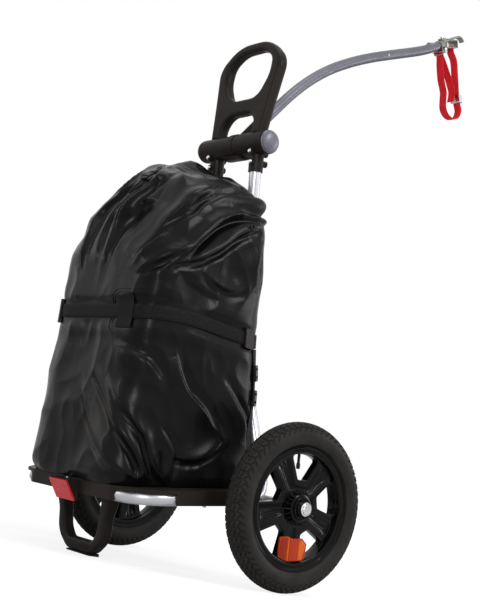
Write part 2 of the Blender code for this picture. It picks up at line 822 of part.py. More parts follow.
def make_tray(screw_holes):
    plate_bottom = LOOP_Z + TUBE_RADIUS + GAP
    plate_top = plate_bottom + TRAY_PLATE
    skirt_bottom = -TRAY_SKIRT_DROP
    height = plate_top - skirt_bottom
    lift = Matrix.Translation((0, 0, (plate_top + skirt_bottom) / 2))
    tray = plate("tray", tray_outline(TRAY_LIP), height, "black_plastic", trailer, matrix=lift)
    inner_low = skirt_bottom - OVERCUT
    inner_lift = Matrix.Translation((0, 0, (plate_bottom + inner_low) / 2))
    hollow = plate("tray_hollow", tray_outline(GAP), plate_bottom - inner_low, None, trailer, matrix=inner_lift)
    cut(tray, hollow)
    far_x = LOOP_X + TUBE_RADIUS + TRAY_LIP + OVERCUT
    far_y = LOOP_REAR_Y - TUBE_RADIUS - TRAY_LIP - OVERCUT
    front_y = TRAY_FRONT_Y + OVERCUT
    for name, side in (("right", 1), ("left", -1)):
        near, far = sorted((side * TRAY_REAR_SKIRT_X, side * far_x))
        low = (near, far_y, inner_low)
        high = (far, TRAY_SIDE_SKIRT_REAR_Y, TRAY_WINDOW_TOP)
        cut(tray, box("tray_corner_window_" + name, low, high, None, trailer))
        low = (near, TRAY_SIDE_SKIRT_FRONT_Y, inner_low)
        high = (far, front_y, plate_bottom)
        cut(tray, box("tray_front_relief_" + name, low, high, None, trailer))
    low = (-TRAY_REAR_SKIRT_X, TRAY_SIDE_SKIRT_FRONT_Y, inner_low)
    cut(tray, box("tray_front_opening", low, (TRAY_REAR_SKIRT_X, front_y, plate_bottom), None, trailer))
    skirt_y = tray_rear_y()
    low = (-LEDGE_HALF_WIDTH, skirt_y - LEDGE_REACH, LEDGE_TOP_Z - LEDGE_THICKNESS)
    high = (LEDGE_HALF_WIDTH, skirt_y + TRAY_LIP / 2, LEDGE_TOP_Z)
    unite(tray, box("tray_ledge", low, high, None, trailer))
    cut(tray, screw_holes)
    cut(tray, holder_screw_hole())
    for side_name, side in (("right", 1), ("left", -1)):
        screw(
            "tray_screw_" + side_name,
            TRAY_SCREW_HEAD_RADIUS,
            TRAY_SCREW_HEAD,
            TRAY_SCREW_RADIUS,
            tray_screw_length(),
            "steel",
            trailer,
            tray_screw_spot(side),
            (0, 0, -1),
            steps=12,
        )
    return plate_bottom


def tray_rear_y():
    return LOOP_REAR_Y - TUBE_RADIUS - TRAY_LIP


def make_foot(plate_bottom):
    top = plate_bottom - GAP
    outer = [(FOOT_OUTLINE[0][0], top, 0), *FOOT_OUTLINE]
    inner = [(FOOT_INNER_TOP_X, top, 0), *FOOT_INNER]
    outer_half = [tuple(point) for point in rounded([*outer, (0, foot_bottom(), 0)], closed=False)][:-1]
    inner_half = [tuple(point) for point in rounded([*inner, (0, FOOT_INNER[-1][1], 0)], closed=False)][:-1]
    outline = [*outer_half, *mirrored(outer_half)[len(outer_half):], *reversed(mirrored(inner_half))]
    stand = Matrix.Translation((0, FOOT_REAR_Y + FOOT_DEPTH / 2, 0)) @ Matrix.Rotation(math.pi / 2, 4, "X")
    foot = plate("foot", outline, FOOT_DEPTH, "black_plastic", trailer, matrix=stand, rounding=FOOT_ROUNDING)
    pad_top = foot_bottom() - GAP
    front_y = FOOT_REAR_Y + FOOT_DEPTH
    low = (-FOOT_PAD_HALF_WIDTH, FOOT_REAR_Y, pad_top - FOOT_PAD_THIN_EDGE)
    pad = box("foot_pad", low, (FOOT_PAD_HALF_WIDTH, front_y, pad_top), "rubber", trailer)
    for corner in pad.data.vertices:
        if corner.co.z < pad_top - GAP:
            corner.co.z = floor_height(corner.co.y)


def holder_screw_hole():
    start = (0, HOLDER_SCREW_Y, HOLDER_TOP_Z + HOLDER_HOLE_MARGIN)
    end = (0, HOLDER_SCREW_Y, LEDGE_TOP_Z - LEDGE_THICKNESS - HOLDER_HOLE_MARGIN)
    return rod("holder_screw_hole", HOLDER_SCREW_RADIUS + GAP, start, end, None, trailer, segments=12)


def make_rear_reflector():
    front = tray_rear_y() - GAP
    outline = (
        (front, HOLDER_TOP_Z),
        (HOLDER_TOP_Y, HOLDER_TOP_Z),
        (HOLDER_BOTTOM_Y, HOLDER_BOTTOM_Z),
        (front, HOLDER_BOTTOM_Z + HOLDER_HEEL),
    )
    sideways = Matrix(((0, 0, 1, 0), (1, 0, 0, 0), (0, 1, 0, 0), (0, 0, 0, 1)))
    holder = plate("reflector_holder", outline, 2 * HOLDER_HALF_WIDTH, "black_plastic", trailer, matrix=sideways)
    low = (-LEDGE_HALF_WIDTH - GAP, front - LEDGE_REACH - GAP, LEDGE_TOP_Z - LEDGE_THICKNESS - GAP)
    high = (LEDGE_HALF_WIDTH + GAP, front + OVERCUT, LEDGE_TOP_Z + GAP)
    cut(holder, box("ledge_pocket", low, high, None, trailer))
    cut(holder, holder_screw_hole())
    slope = Vector((HOLDER_BOTTOM_Y - HOLDER_TOP_Y, HOLDER_BOTTOM_Z - HOLDER_TOP_Z))
    outward = Vector((slope.y, -slope.x)).normalized()
    top = Vector((HOLDER_TOP_Y, HOLDER_TOP_Z)) + slope * REFLECTOR_MARGIN_SHARE + outward * GAP
    bottom = top + slope * (1 - 2 * REFLECTOR_MARGIN_SHARE)
    lens_outline = (top, top + outward * REFLECTOR_THICKNESS, bottom + outward * REFLECTOR_THICKNESS, bottom)
    plate("rear_reflector", lens_outline, 2 * REFLECTOR_HALF_WIDTH, "red_lens", trailer, matrix=sideways)
    length = HOLDER_TOP_Z - LEDGE_TOP_Z + LEDGE_THICKNESS * HOLDER_SCREW_BITE_SHARE
    place = (0, HOLDER_SCREW_Y, HOLDER_TOP_Z + GAP)
    head, height, shank = HOLDER_SCREW_HEAD_RADIUS, HOLDER_SCREW_HEAD, HOLDER_SCREW_RADIUS
    screw("reflector_screw", head, height, shank, length, "steel", trailer, place, (0, 0, 1), steps=12)


def window_outline(middle):
    """One opening between two spokes: straight sides and an outer edge that follows the rim."""
    inner, outer = WINDOW_INNER_HALF_ANGLE, WINDOW_OUTER_HALF_ANGLE
    corners = [(*polar(WINDOW_INNER_RADIUS, middle + inner), WINDOW_CORNER)]
    corners.append((*polar(WINDOW_INNER_RADIUS, middle - inner), WINDOW_CORNER))
    corners.append((*polar(WINDOW_OUTER_RADIUS, middle - outer), WINDOW_CORNER))
    corners.append((*polar(WINDOW_OUTER_RADIUS, middle - outer / 3), 0))
    corners.append((*polar(WINDOW_OUTER_RADIUS, middle + outer / 3), 0))
    corners.append((*polar(WINDOW_OUTER_RADIUS, middle + outer), WINDOW_CORNER))
    return rounded(corners, step=math.radians(45))


def face_on(shift=0.0):
    """Takes a flat (y, z) outline in the curve's plane to the wheel's plane, a distance outboard."""
    return Matrix(((0, 0, 1, shift), (1, 0, 0, 0), (0, 1, 0, 0), (0, 0, 0, 1)))


def rim_profile():
    flange = RIM_HALF_WIDTH - RIM_FLANGE_WALL
    right_side = (
        (RIM_HALF_WIDTH, RIM_INNER_RADIUS),
        (RIM_HALF_WIDTH, RIM_FLANGE_RADIUS),
        (flange, RIM_FLANGE_RADIUS),
        (flange, RIM_SEAT_RADIUS),
        (RIM_WELL_HALF_WIDTH, RIM_WELL_RADIUS),
    )
    return (*right_side, *((-x, radius) for x, radius in reversed(right_side)))


def hub_profile():
    end, bore = HUB_HALF_WIDTH, BUSH_RADIUS + GAP
    return ((end, bore), (end, HUB_RADIUS), (-end, HUB_RADIUS), (-end, bore))


def make_wheel(side_name, side):
    place = wheel_place(side)
    angles = [FIRST_WINDOW_ANGLE + 2 * math.pi * index / SPOKE_COUNT for index in range(SPOKE_COUNT)]
    wheel = turned("wheel_" + side_name, rim_profile(), "wheel_plastic", trailer, steps=TYRE_STEPS, **place)
    disc_edge = (RIM_INNER_RADIUS + RIM_WELL_RADIUS) / 2
    hub_hole = arc(HUB_RADIUS - HUB_WEB_OVERLAP, 0, 2 * math.pi, HUB_STEPS)[:-1]
    disc = plate(
        "web_" + side_name,
        arc(disc_edge, 0, 2 * math.pi, TYRE_STEPS)[:-1],
        2 * WEB_HALF_WIDTH,
        None,
        trailer,
        holes=[hub_hole, *(window_outline(angle) for angle in angles)],
        matrix=face_on(),
        **place,
    )
    unite(wheel, disc)
    unite(wheel, turned("hub_" + side_name, hub_profile(), None, trailer, steps=HUB_STEPS, **place))
    valve_hole = rod(
        "valve_hole_" + side_name,
        VALVE_RADIUS + GAP,
        (0, *polar(RIM_INNER_RADIUS - OVERCUT, VALVE_ANGLE)),
        (0, *polar(RIM_SEAT_RADIUS, VALVE_ANGLE)),
        None,
        trailer,
        segments=12,
        **place,
    )
    cut(wheel, valve_hole)
    inner_tube = make_tyre(side_name, place["location"])
    make_valve(side_name, place, inner_tube)
    make_bush(side_name, place)
    make_spoke_reflector(side_name, place)
    make_pin(side_name, place)


def facet_turn():
    """Turns a faceted ring so that the middle of one facet is straight below the wheel axis."""
    step = 2 * math.pi / TYRE_STEPS
    return -(math.pi / 2 + lean_back_angle()) + step / 2


def make_tyre(side_name, centre):
    grow = 1 / math.cos(math.pi / TYRE_STEPS)
    middle = WHEEL_RADIUS - TYRE_SECTION_RADIUS
    flange = RIM_HALF_WIDTH - RIM_FLANGE_WALL - GAP
    lip = RIM_FLANGE_RADIUS + TYRE_LIP_GAP
    start = math.asin((lip - middle) / TYRE_SECTION_RADIUS)
    cavity_radius = TYRE_SECTION_RADIUS - TYRE_WALL
    cavity_start = math.radians(-33)
    seat = RIM_SEAT_RADIUS + GAP
    bead = (
        (-flange, lip),
        (-flange, seat),
        (-flange + BEAD_WIDTH, seat),
        (-flange + BEAD_NECK, lip - BEAD_NECK_DROP),
    )
    outer = arc(TYRE_SECTION_RADIUS, start, math.pi - start, 8, centre=(0, middle))
    cavity = arc(cavity_radius, math.pi - cavity_start, cavity_start, 6, centre=(0, middle))
    other_bead = [(-x, radius) for x, radius in reversed(bead)]
    profile = [(x, radius * grow) for x, radius in (*outer, *bead, *cavity, *other_bead)]
    turn = (facet_turn(), 0, 0)
    turned("tyre_" + side_name, profile, "rubber", trailer, steps=TYRE_STEPS, location=centre, rotation=turn)
    tube_radius = cavity_radius - INNER_TUBE_GAP
    ring = arc(tube_radius, 0, 2 * math.pi, 8, centre=(0, middle))[:-1]
    ring = [(x, radius * grow) for x, radius in ring]
    return turned("inner_tube_" + side_name, ring, "rubber", trailer, steps=TYRE_STEPS, location=centre, rotation=turn)


def make_valve(side_name, place, inner_tube):
    """Valve stem through the rim and the dust cap on its threaded end, along the valve's direction."""
    turn = Matrix.Rotation(VALVE_ANGLE, 4, "X") @ Matrix.Rotation(math.pi / 2, 4, "Z")
    base = WHEEL_RADIUS - 2 * TYRE_SECTION_RADIUS + TYRE_WALL + VALVE_ROOT
    cap_end = VALVE_TIP_RADIUS + VALVE_CAP_LENGTH
    cap_floor = VALVE_TIP_RADIUS + VALVE_CAP_END_WALL
    thread = VALVE_RADIUS - VALVE_THREAD_STEP
    stem_profile = (
        (base, 0.0),
        (base, VALVE_BASE_RADIUS),
        (RIM_WELL_RADIUS + VALVE_SHOULDER, VALVE_BASE_RADIUS),
        (RIM_WELL_RADIUS + VALVE_SHOULDER, VALVE_RADIUS),
        (cap_end + GAP, VALVE_RADIUS),
        (cap_end + GAP, thread),
        (cap_floor, thread),
        (cap_floor, 0.0),
    )
    cap_profile = (
        (cap_end, thread + GAP),
        (cap_end, VALVE_CAP_RADIUS),
        (VALVE_TIP_RADIUS + VALVE_CAP_EDGE, VALVE_CAP_RADIUS),
        (VALVE_TIP_RADIUS, VALVE_CAP_RADIUS - VALVE_CAP_EDGE),
        (VALVE_TIP_RADIUS, 0.0),
    )
    cap_inside = ((cap_floor - GAP, 0.0), (cap_floor - GAP, thread + GAP))
    stem = turned("valve_stem_" + side_name, stem_profile, None, trailer, steps=12, **place)
    stem.data.transform(turn)
    unite(inner_tube, stem)
    cap = turned("valve_cap_" + side_name, (*cap_profile, *cap_inside), "rubber", trailer, steps=12, **place)
    cap.data.transform(turn)


def make_bush(side_name, place):
    """Flanged plain bearing through the hub, which turns on the quick-release pin."""
    end = HUB_HALF_WIDTH
    flange = end + BUSH_FLANGE
    bore = PIN_RADIUS + PIN_CLEARANCE
    profile = (
        (flange, bore),
        (flange, BUSH_FLANGE_RADIUS),
        (end + GAP, BUSH_FLANGE_RADIUS),
        (end + GAP, BUSH_RADIUS),
        (-end - BUSH_TAIL, BUSH_RADIUS),
        (-end - BUSH_TAIL, bore),
    )
    turned("wheel_bush_" + side_name, profile, "cap_grey", trailer, steps=16, **place)


def make_spoke_reflector(side_name, place):
    """Amber reflector on the outer face of one spoke."""
    middle = SPOKE_REFLECTOR_ANGLE
    hub_end = WINDOW_INNER_RADIUS + SPOKE_REFLECTOR_HUB_MARGIN
    shoulder = WINDOW_OUTER_RADIUS - SPOKE_REFLECTOR_SHOULDER
    corners = (
        (*polar(hub_end, middle - SPOKE_REFLECTOR_TURN), SPOKE_REFLECTOR_CORNER),
        (*polar(shoulder, middle - SPOKE_REFLECTOR_TURN), SPOKE_REFLECTOR_CORNER),
        (*polar(WINDOW_OUTER_RADIUS, middle), 0.0),
        (*polar(shoulder, middle + SPOKE_REFLECTOR_TURN), SPOKE_REFLECTOR_CORNER),
        (*polar(hub_end + SPOKE_REFLECTOR_CHAMFER, middle + SPOKE_REFLECTOR_CHAMFER_TURN), SPOKE_REFLECTOR_CORNER),
    )
    back = WEB_HALF_WIDTH + GAP
    thickness = SPOKE_REFLECTOR_THICKNESS
    lift = face_on(back + thickness / 2)
    outline = rounded(corners, step=math.radians(40))
    plate("spoke_reflector_" + side_name, outline, thickness, "amber_lens", trailer, matrix=lift, **place)


def pin_inner_end():
    return axle_socket_end() - PIN_LENGTH_IN_SOCKET


def ball_place():
    return pin_inner_end() + LOCKING_BALL_SETBACK


def make_pin(side_name, place):
    """Quick-release axle: a hollow pin with a cup-shaped head, and a push button whose stem works the balls."""
    seat = HUB_HALF_WIDTH + BUSH_FLANGE + GAP
    floor = seat + PIN_CUP_FLOOR
    rim = floor + PIN_CUP_DEPTH
    end = pin_inner_end()
    well = PIN_BUTTON_RADIUS + GAP
    bore_end = end + PIN_END_WALL
    pin_profile = (
        (bore_end, 0.0),
        (bore_end, PIN_BORE_RADIUS),
        (floor, PIN_BORE_RADIUS),
        (floor, well),
        (rim, well),
        (rim, PIN_CUP_RADIUS - PIN_EDGE),
        (rim - PIN_EDGE, PIN_CUP_RADIUS),
        (seat, PIN_CUP_RADIUS - PIN_EDGE),
        (seat, PIN_RADIUS),
        (end + PIN_EDGE, PIN_RADIUS),
        (end, PIN_RADIUS - PIN_EDGE),
        (end, 0.0),
    )
    pin = turned("axle_pin_" + side_name, pin_profile, "steel", trailer, steps=16, **place)
    hole = rod(
        "ball_hole_" + side_name,
        LOCKING_BALL_RADIUS + GAP,
        (ball_place(), 0, 0),
        (ball_place(), 0, 2 * PIN_RADIUS),
        None,
        trailer,
        segments=12,
        **place,
    )
    cut(pin, hole)

    front = rim + PIN_BUTTON_PROUD
    back = front - PIN_BUTTON_THICKNESS
    pocket = PIN_BUTTON_RADIUS - PIN_BUTTON_WALL
    pocket_top = back + PIN_BUTTON_TRAVEL
    stem_end = bore_end + PIN_BUTTON_TRAVEL + GAP
    button_profile = (
        (front, 0.0),
        (front, PIN_BUTTON_RADIUS - PIN_EDGE),
        (front - PIN_EDGE, PIN_BUTTON_RADIUS),
        (back, PIN_BUTTON_RADIUS),
        (back, pocket),
        (pocket_top, pocket),
        (pocket_top, PIN_STEM_RADIUS),
        (stem_end, PIN_STEM_RADIUS),
        (stem_end, 0.0),
    )
    turned("axle_button_" + side_name, button_profile, "steel", trailer, steps=16, **place)
    wire = AXLE_SPRING_WIRE
    coil_start = floor + GAP + wire
    coil_end = pocket_top - GAP - wire
    spring("axle_spring_" + side_name, coil_start, coil_end, AXLE_SPRING_RADIUS, wire, 2, place)
    make_locking_ball(side_name, place)


def spring(name, start, end, radius, wire, turns, place):
    """A compression spring along X."""
    per_turn = 8
    points = []
    for index in range(turns * per_turn + 1):
        angle = 2 * math.pi * index / per_turn
        x = start + (end - start) * index / (turns * per_turn)
        points.append((x, *polar(radius, angle)))
    coil = tube(name, points, wire, "steel", trailer, resolution=1, location=place["location"])
    coil.rotation_euler = place["rotation"]


def make_locking_ball(side_name, place):
    """Ball held out by the button's stem, in the groove that locks the pin in its socket."""
    work = bmesh.new()
    spot = Matrix.Translation((ball_place(), 0, LOCKING_BALL_OFFSET))
    bmesh.ops.create_icosphere(work, subdivisions=2, radius=LOCKING_BALL_RADIUS, matrix=spot)
    mesh = bpy.data.meshes.new("locking_ball_" + side_name)
    work.to_mesh(mesh)
    work.free()
    soften(link("locking_ball_" + side_name, mesh, "steel", trailer, **place), 60)


def bolt_hole_cutter():
    rear, front = (0, UPRIGHT_Y - 2 * HEAD_RADIUS, 0), (0, clamp_front() - CLAMP_BLIND_END + GAP, 0)
    template = rod("clamp_bolt_hole", CLAMP_BOLT_RADIUS + GAP, rear, front, None, None, segments=12)
    places = [Matrix.Translation((side * CLAMP_BOLT_X, 0, z)) for side in (1, -1) for z, _ in CLAMP_BOLTS.values()]
    return copies("clamp_bolt_holes", template, places, trailer)


def clamp_front():
    """Y of the closed front end of the bosses that the clamp bolts thread into."""
    return UPRIGHT_Y + CLAMP_FRONT_REACH


def make_head_half(side_name, side, bolt_holes):
    """One half of the hinge head: a barrel with a socket below it for the frame's upright."""
    place = {"location": (0, HEAD_Y, HEAD_Z), "rotation": (0, 0, 0 if side > 0 else math.pi)}
    start = HUB_BAND_HALF_WIDTH + GAP
    barrel_profile = (
        (HEAD_HALF_WIDTH, HEAD_RADIUS - MOULDED_EDGE),
        (HEAD_HALF_WIDTH - MOULDED_EDGE, HEAD_RADIUS),
        (start, HEAD_RADIUS),
        (start, STEM_RADIUS + GAP),
        (SPRING_SHOULDER, STEM_RADIUS + GAP),
        (SPRING_SHOULDER, SPRING_POCKET_RADIUS),
        (HEAD_HALF_WIDTH, SPRING_POCKET_RADIUS),
    )
    half = turned("hinge_head_" + side_name, barrel_profile, "black_plastic", trailer, steps=HEAD_STEPS, **place)
    x = side * UPRIGHT_X
    top = HEAD_Z - STEM_RADIUS - STEM_CLEARANCE
    socket = rod(
        "head_socket_" + side_name,
        SOCKET_RADIUS,
        (x, UPRIGHT_Y, SOCKET_BOTTOM),
        (x, UPRIGHT_Y, top),
        None,
        trailer,
        segments=18,
    )
    unite(half, socket)
    for level, (z, reach) in CLAMP_BOLTS.items():
        boss = rod(
            f"clamp_boss_{level}_{side_name}",
            CLAMP_BOSS_RADIUS,
            (side * CLAMP_BOLT_X, UPRIGHT_Y - reach, z),
            (side * CLAMP_BOLT_X, clamp_front(), z),
            None,
            trailer,
            segments=12,
        )
        unite(half, boss)
    bore = rod(
        "upright_bore_" + side_name,
        TUBE_RADIUS + GAP,
        (x, UPRIGHT_Y, SOCKET_BOTTOM - OVERCUT),
        (x, UPRIGHT_Y, UPRIGHT_TOP + GAP),
        None,
        trailer,
        segments=18,
    )
    cut(half, bore)
    cut(half, bolt_holes)
    peg_hole = rod(
        "handle_peg_hole_" + side_name,
        HANDLE_PEG_RADIUS + GAP,
        (x, HEAD_Y, HEAD_Z + HEAD_RADIUS - HANDLE_PEG_DEPTH - GAP),
        (x, HEAD_Y, HEAD_Z + HEAD_RADIUS + OVERCUT),
        None,
        trailer,
        segments=16,
    )
    cut(half, peg_hole)
    make_release_button(side_name, place)
    make_clamp_bolts(side_name, side)


def make_release_button(side_name, place):
    """Domed push button with its spring. The stem slides on the shaft and its end locks the hub to the head."""
    bore = SHAFT_RADIUS + GAP
    dome_steps = 4
    dome = []
    for part in range(dome_steps + 1):
        share = part / dome_steps
        radius = (BUTTON_RADIUS - MOULDED_EDGE) * math.sin(share * math.pi / 2)
        dome.append((BUTTON_RIM + MOULDED_EDGE + BUTTON_DOME * math.cos(share * math.pi / 2), radius))
    shaft_room = SHAFT_HALF_LENGTH + BUTTON_TRAVEL + 2 * GAP
    profile = (
        (shaft_room, 0.0),
        (shaft_room, bore),
        (STEM_START, bore),
        (STEM_START, STEM_RADIUS),
        (BUTTON_SPIGOT_END, STEM_RADIUS),
        (BUTTON_SPIGOT_END, BUTTON_SPIGOT_RADIUS),
        (BUTTON_RIM, BUTTON_SPIGOT_RADIUS),
        (BUTTON_RIM, BUTTON_RADIUS),
        *reversed(dome),
    )
    turned("release_button_" + side_name, tuple(reversed(profile)), "cap_grey", trailer, steps=HEAD_STEPS, **place)
    wire = RELEASE_SPRING_WIRE
    start = SPRING_SHOULDER + GAP + wire
    end = BUTTON_SPIGOT_END - GAP - wire
    spring("release_spring_" + side_name, start, end, RELEASE_SPRING_RADIUS, wire, 3, place)


def make_pivot_shaft():
    start, end = (-SHAFT_HALF_LENGTH, 0, 0), (SHAFT_HALF_LENGTH, 0, 0)
    rod("pivot_shaft", SHAFT_RADIUS, start, end, "steel", trailer, segments=20, location=(0, HEAD_Y, HEAD_Z))


def make_clamp_bolts(side_name, side):
    """Bolts that clamp a socket on its upright. They thread into the blind bosses at the front."""
    for level, (z, reach) in CLAMP_BOLTS.items():
        rear = UPRIGHT_Y - reach - GAP
        screw(
            f"clamp_bolt_{level}_{side_name}",
            CLAMP_BOLT_HEAD_RADIUS,
            CLAMP_BOLT_HEAD,
            CLAMP_BOLT_RADIUS,
            clamp_front() - rear - CLAMP_BLIND_END,
            "steel",
            trailer,
            (side * CLAMP_BOLT_X, rear, z),
            (0, -1, 0),
        )


def handle_outlines():
    """Outer outline with the arch at its foot, and the opening for the fingers."""
    outer_half = [tuple(point) for point in rounded(HANDLE_OUTER, closed=False)][:-1]
    arch_half = [tuple(point) for point in rounded(HANDLE_ARCH, closed=False)][:-1]
    hole_half = [tuple(point) for point in rounded(HANDLE_OPENING, closed=False)][1:-1]
    outline = [*mirrored(outer_half), *reversed(mirrored(arch_half))]
    return outline, mirrored(hole_half)


def make_handle():
    outline, opening = handle_outlines()
    lean = Matrix.Translation((0, UPRIGHT_Y, HANDLE_BASE_Z)) @ Matrix.Rotation(math.pi / 2 - HANDLE_LEAN, 4, "X")
    handle = plate(
        "handle",
        outline,
        HANDLE_THICKNESS,
        "black_plastic",
        trailer,
        holes=[opening],
        matrix=lean,
        rounding=HANDLE_ROUNDING,
    )
    seat = rod(
        "handle_seat",
        HEAD_RADIUS + GAP,
        (-HEAD_HALF_WIDTH, HEAD_Y, HEAD_Z),
        (HEAD_HALF_WIDTH, HEAD_Y, HEAD_Z),
        None,
        trailer,
        segments=HEAD_STEPS,
    )
    cut(handle, seat)
    reach = HEAD_HALF_WIDTH
    low, high = (-reach, -reach, HANDLE_TRIM_Z - reach), (reach, reach, HANDLE_TRIM_Z)
    cut(handle, box("handle_trim", low, high, None, trailer))
    for side_name, side in (("right", 1), ("left", -1)):
        peg = rod(
            "handle_peg_" + side_name,
            HANDLE_PEG_RADIUS,
            (side * UPRIGHT_X, HEAD_Y, HEAD_Z + HEAD_RADIUS - HANDLE_PEG_DEPTH),
            (side * UPRIGHT_X, HEAD_Y, HEAD_Z + HEAD_RADIUS + HANDLE_PEG_ROOT),
            None,
            trailer,
            segments=16,
        )
        unite(handle, peg)


def on_hinge(y, z):
    """A point given from the wheel axis, as the tow bar's hinge sees it."""
    return (0, y - HEAD_Y, z - HEAD_Z)


def make_tow_hub():
    """Central band of the hinge, its saddle round the head and the socket that the bar is pressed into."""
    band = HUB_BAND_HALF_WIDTH
    room = STEM_START - BUTTON_TRAVEL - 2 * GAP
    profile = (
        (band, HUB_BAND_RADIUS - MOULDED_EDGE),
        (band - MOULDED_EDGE, HUB_BAND_RADIUS),
        (-band + MOULDED_EDGE, HUB_BAND_RADIUS),
        (-band, HUB_BAND_RADIUS - MOULDED_EDGE),
        (-band, STEM_RADIUS + GAP),
        (-room, STEM_RADIUS + GAP),
        (-room, SHAFT_RADIUS + GAP),
        (room, SHAFT_RADIUS + GAP),
        (room, STEM_RADIUS + GAP),
        (band, STEM_RADIUS + GAP),
    )
    hub = turned("tow_hub", profile, "black_plastic", tow_hinge, steps=HEAD_STEPS)
    inner, outer = HEAD_RADIUS + GAP, SADDLE_RADIUS
    sector = [*arc(outer, SADDLE_START, SADDLE_END, 12), *reversed(arc(inner, SADDLE_START, SADDLE_END, 12))]
    unite(hub, plate("tow_saddle", sector, 2 * SADDLE_HALF_WIDTH, None, tow_hinge, matrix=face_on()))
    start = (0, *polar(SADDLE_RADIUS - BAR_SOCKET_ROOT, BAR_ANGLE))
    end = (0, *polar(BAR_SOCKET_END, BAR_ANGLE))
    unite(hub, rod("bar_socket", BAR_SOCKET_RADIUS, start, end, None, tow_hinge, segments=24))
    bore_start = (0, *polar(BAR_START - GAP, BAR_ANGLE))
    bore_end = (0, *polar(BAR_SOCKET_END + OVERCUT, BAR_ANGLE))
    cut(hub, rod("bar_socket_bore", BAR_RADIUS + GAP, bore_start, bore_end, None, tow_hinge, segments=24))


def bar_end_frame():
    """Place of the bar's end: X along the bar, Y across and Z up, seen from the hinge."""
    return Matrix.Translation(on_hinge(*BAR_END)) @ Matrix(
        (
            (0, -1, 0, 0),
            (math.cos(BAR_END_ANGLE), 0, -math.sin(BAR_END_ANGLE), 0),
            (math.sin(BAR_END_ANGLE), 0, math.cos(BAR_END_ANGLE), 0),
            (0, 0, 0, 1),
        )
    )


def smooth_route(points, count):
    """Points of a smooth curve through the given ones (Catmull-Rom), count for each stretch."""
    made = []
    spots = [Vector(point) for point in points]
    ends = [2 * spots[0] - spots[1], *spots, 2 * spots[-1] - spots[-2]]
    for before, here, there, after in zip(ends, ends[1:], ends[2:], ends[3:]):
        for part in range(count):
            t = part / count
            made.append(
                0.5
                * (
                    2 * here
                    + (there - before) * t
                    + (2 * before - 5 * here + 4 * there - after) * t**2
                    + (3 * here - before - 3 * there + after) * t**3
                )
            )
    made.append(spots[-1])
    return made


def make_tow_bar():
    start = (0, *polar(BAR_START, BAR_ANGLE))
    straight_end = (0, *polar(BAR_SOCKET_END + BAR_STRAIGHT, BAR_ANGLE))
    end_frame = bar_end_frame()
    route = [straight_end, *(on_hinge(y, z) for y, z in BAR_ROUTE), end_frame @ Vector((-BAR_BORE_DEPTH, 0, 0))]
    points = [Vector(start), *smooth_route(route, 2), end_frame @ Vector((0, 0, 0))]
    bar = tube("tow_bar", points, BAR_RADIUS, "grey_paint", tow_hinge)
    bore = rod(
        "bar_end_bore",
        BAR_RADIUS - BAR_WALL,
        end_frame @ Vector((-BAR_BORE_DEPTH, 0, 0)),
        end_frame @ Vector((OVERCUT, 0, 0)),
        None,
        tow_hinge,
        segments=20,
    )
    cut(bar, bore)
    return bar


def make_bar_rivet(bar):
    """Rivet across the bar, with a low head on each side."""
    spot = on_hinge(*BAR_RIVET)[1:]
    head = BAR_RADIUS + BAR_RIVET_HEAD
    through = 2 * BAR_RADIUS
    start, end = (-through, *spot), (through, *spot)
    cut(bar, rod("bar_rivet_hole", BAR_RIVET_RADIUS + GAP, start, end, None, tow_hinge, segments=12))
    rod("bar_rivet", BAR_RIVET_RADIUS, (-head, *spot), (head, *spot), "steel", tow_hinge, segments=12)


def in_hitch_frame(obj):
    obj.data.transform(bar_end_frame())
    return obj


def make_hitch_plug():
    """Plug pressed into the bar's end, with a tongue for the hitch bolt."""
    spigot = BAR_RADIUS - BAR_WALL - GAP
    depth = BAR_BORE_DEPTH - HITCH_PLUG_END_ROOM
    profile = (
        (HITCH_PLUG_COLLAR, 0.0),
        (HITCH_PLUG_COLLAR, HITCH_PLUG_RADIUS - MOULDED_EDGE),
        (HITCH_PLUG_COLLAR - MOULDED_EDGE, HITCH_PLUG_RADIUS),
        (GAP, HITCH_PLUG_RADIUS),
        (GAP, spigot),
        (-depth, spigot),
        (-depth, 0.0),
    )
    plug = in_hitch_frame(turned("hitch_plug", profile, "dark_steel", tow_hinge, steps=16))
    nose = HITCH_BOLT_U + TONGUE_HALF_WIDTH
    outline = rounded(
        (
            (HITCH_PLUG_COLLAR - MOULDED_EDGE, -TONGUE_HALF_WIDTH, 0),
            (nose, -TONGUE_HALF_WIDTH, TONGUE_HALF_WIDTH * ROUND_END_SHARE),
            (nose, TONGUE_HALF_WIDTH, TONGUE_HALF_WIDTH * ROUND_END_SHARE),
            (HITCH_PLUG_COLLAR - MOULDED_EDGE, TONGUE_HALF_WIDTH, 0),
        )
    )
    lift = bar_end_frame() @ Matrix.Translation((0, 0, (TONGUE_TOP + TONGUE_BOTTOM) / 2))
    tongue = plate("hitch_tongue", outline, TONGUE_TOP - TONGUE_BOTTOM, None, tow_hinge, matrix=lift)
    unite(plug, tongue)
    low = (2 * GAP, -STRAP_EYE_HALF_WIDTH, -STRAP_EYE_DEPTH)
    high = (HITCH_PLUG_COLLAR - GAP, STRAP_EYE_HALF_WIDTH, 0)
    unite(plug, in_hitch_frame(box("strap_eye", low, high, None, tow_hinge)))
    half_width = STRAP_WIDTH / 2 + STRAP_SIDE_PLAY
    slot_low = (-OVERCUT, -half_width, STRAP_EYE_MIDDLE - STRAP_EYE_HALF_HEIGHT)
    slot_high = (OVERCUT, half_width, STRAP_EYE_MIDDLE + STRAP_EYE_HALF_HEIGHT)
    cut(plug, in_hitch_frame(box("strap_eye_slot", slot_low, slot_high, None, tow_hinge)))
    cut(plug, hitch_bolt_hole())


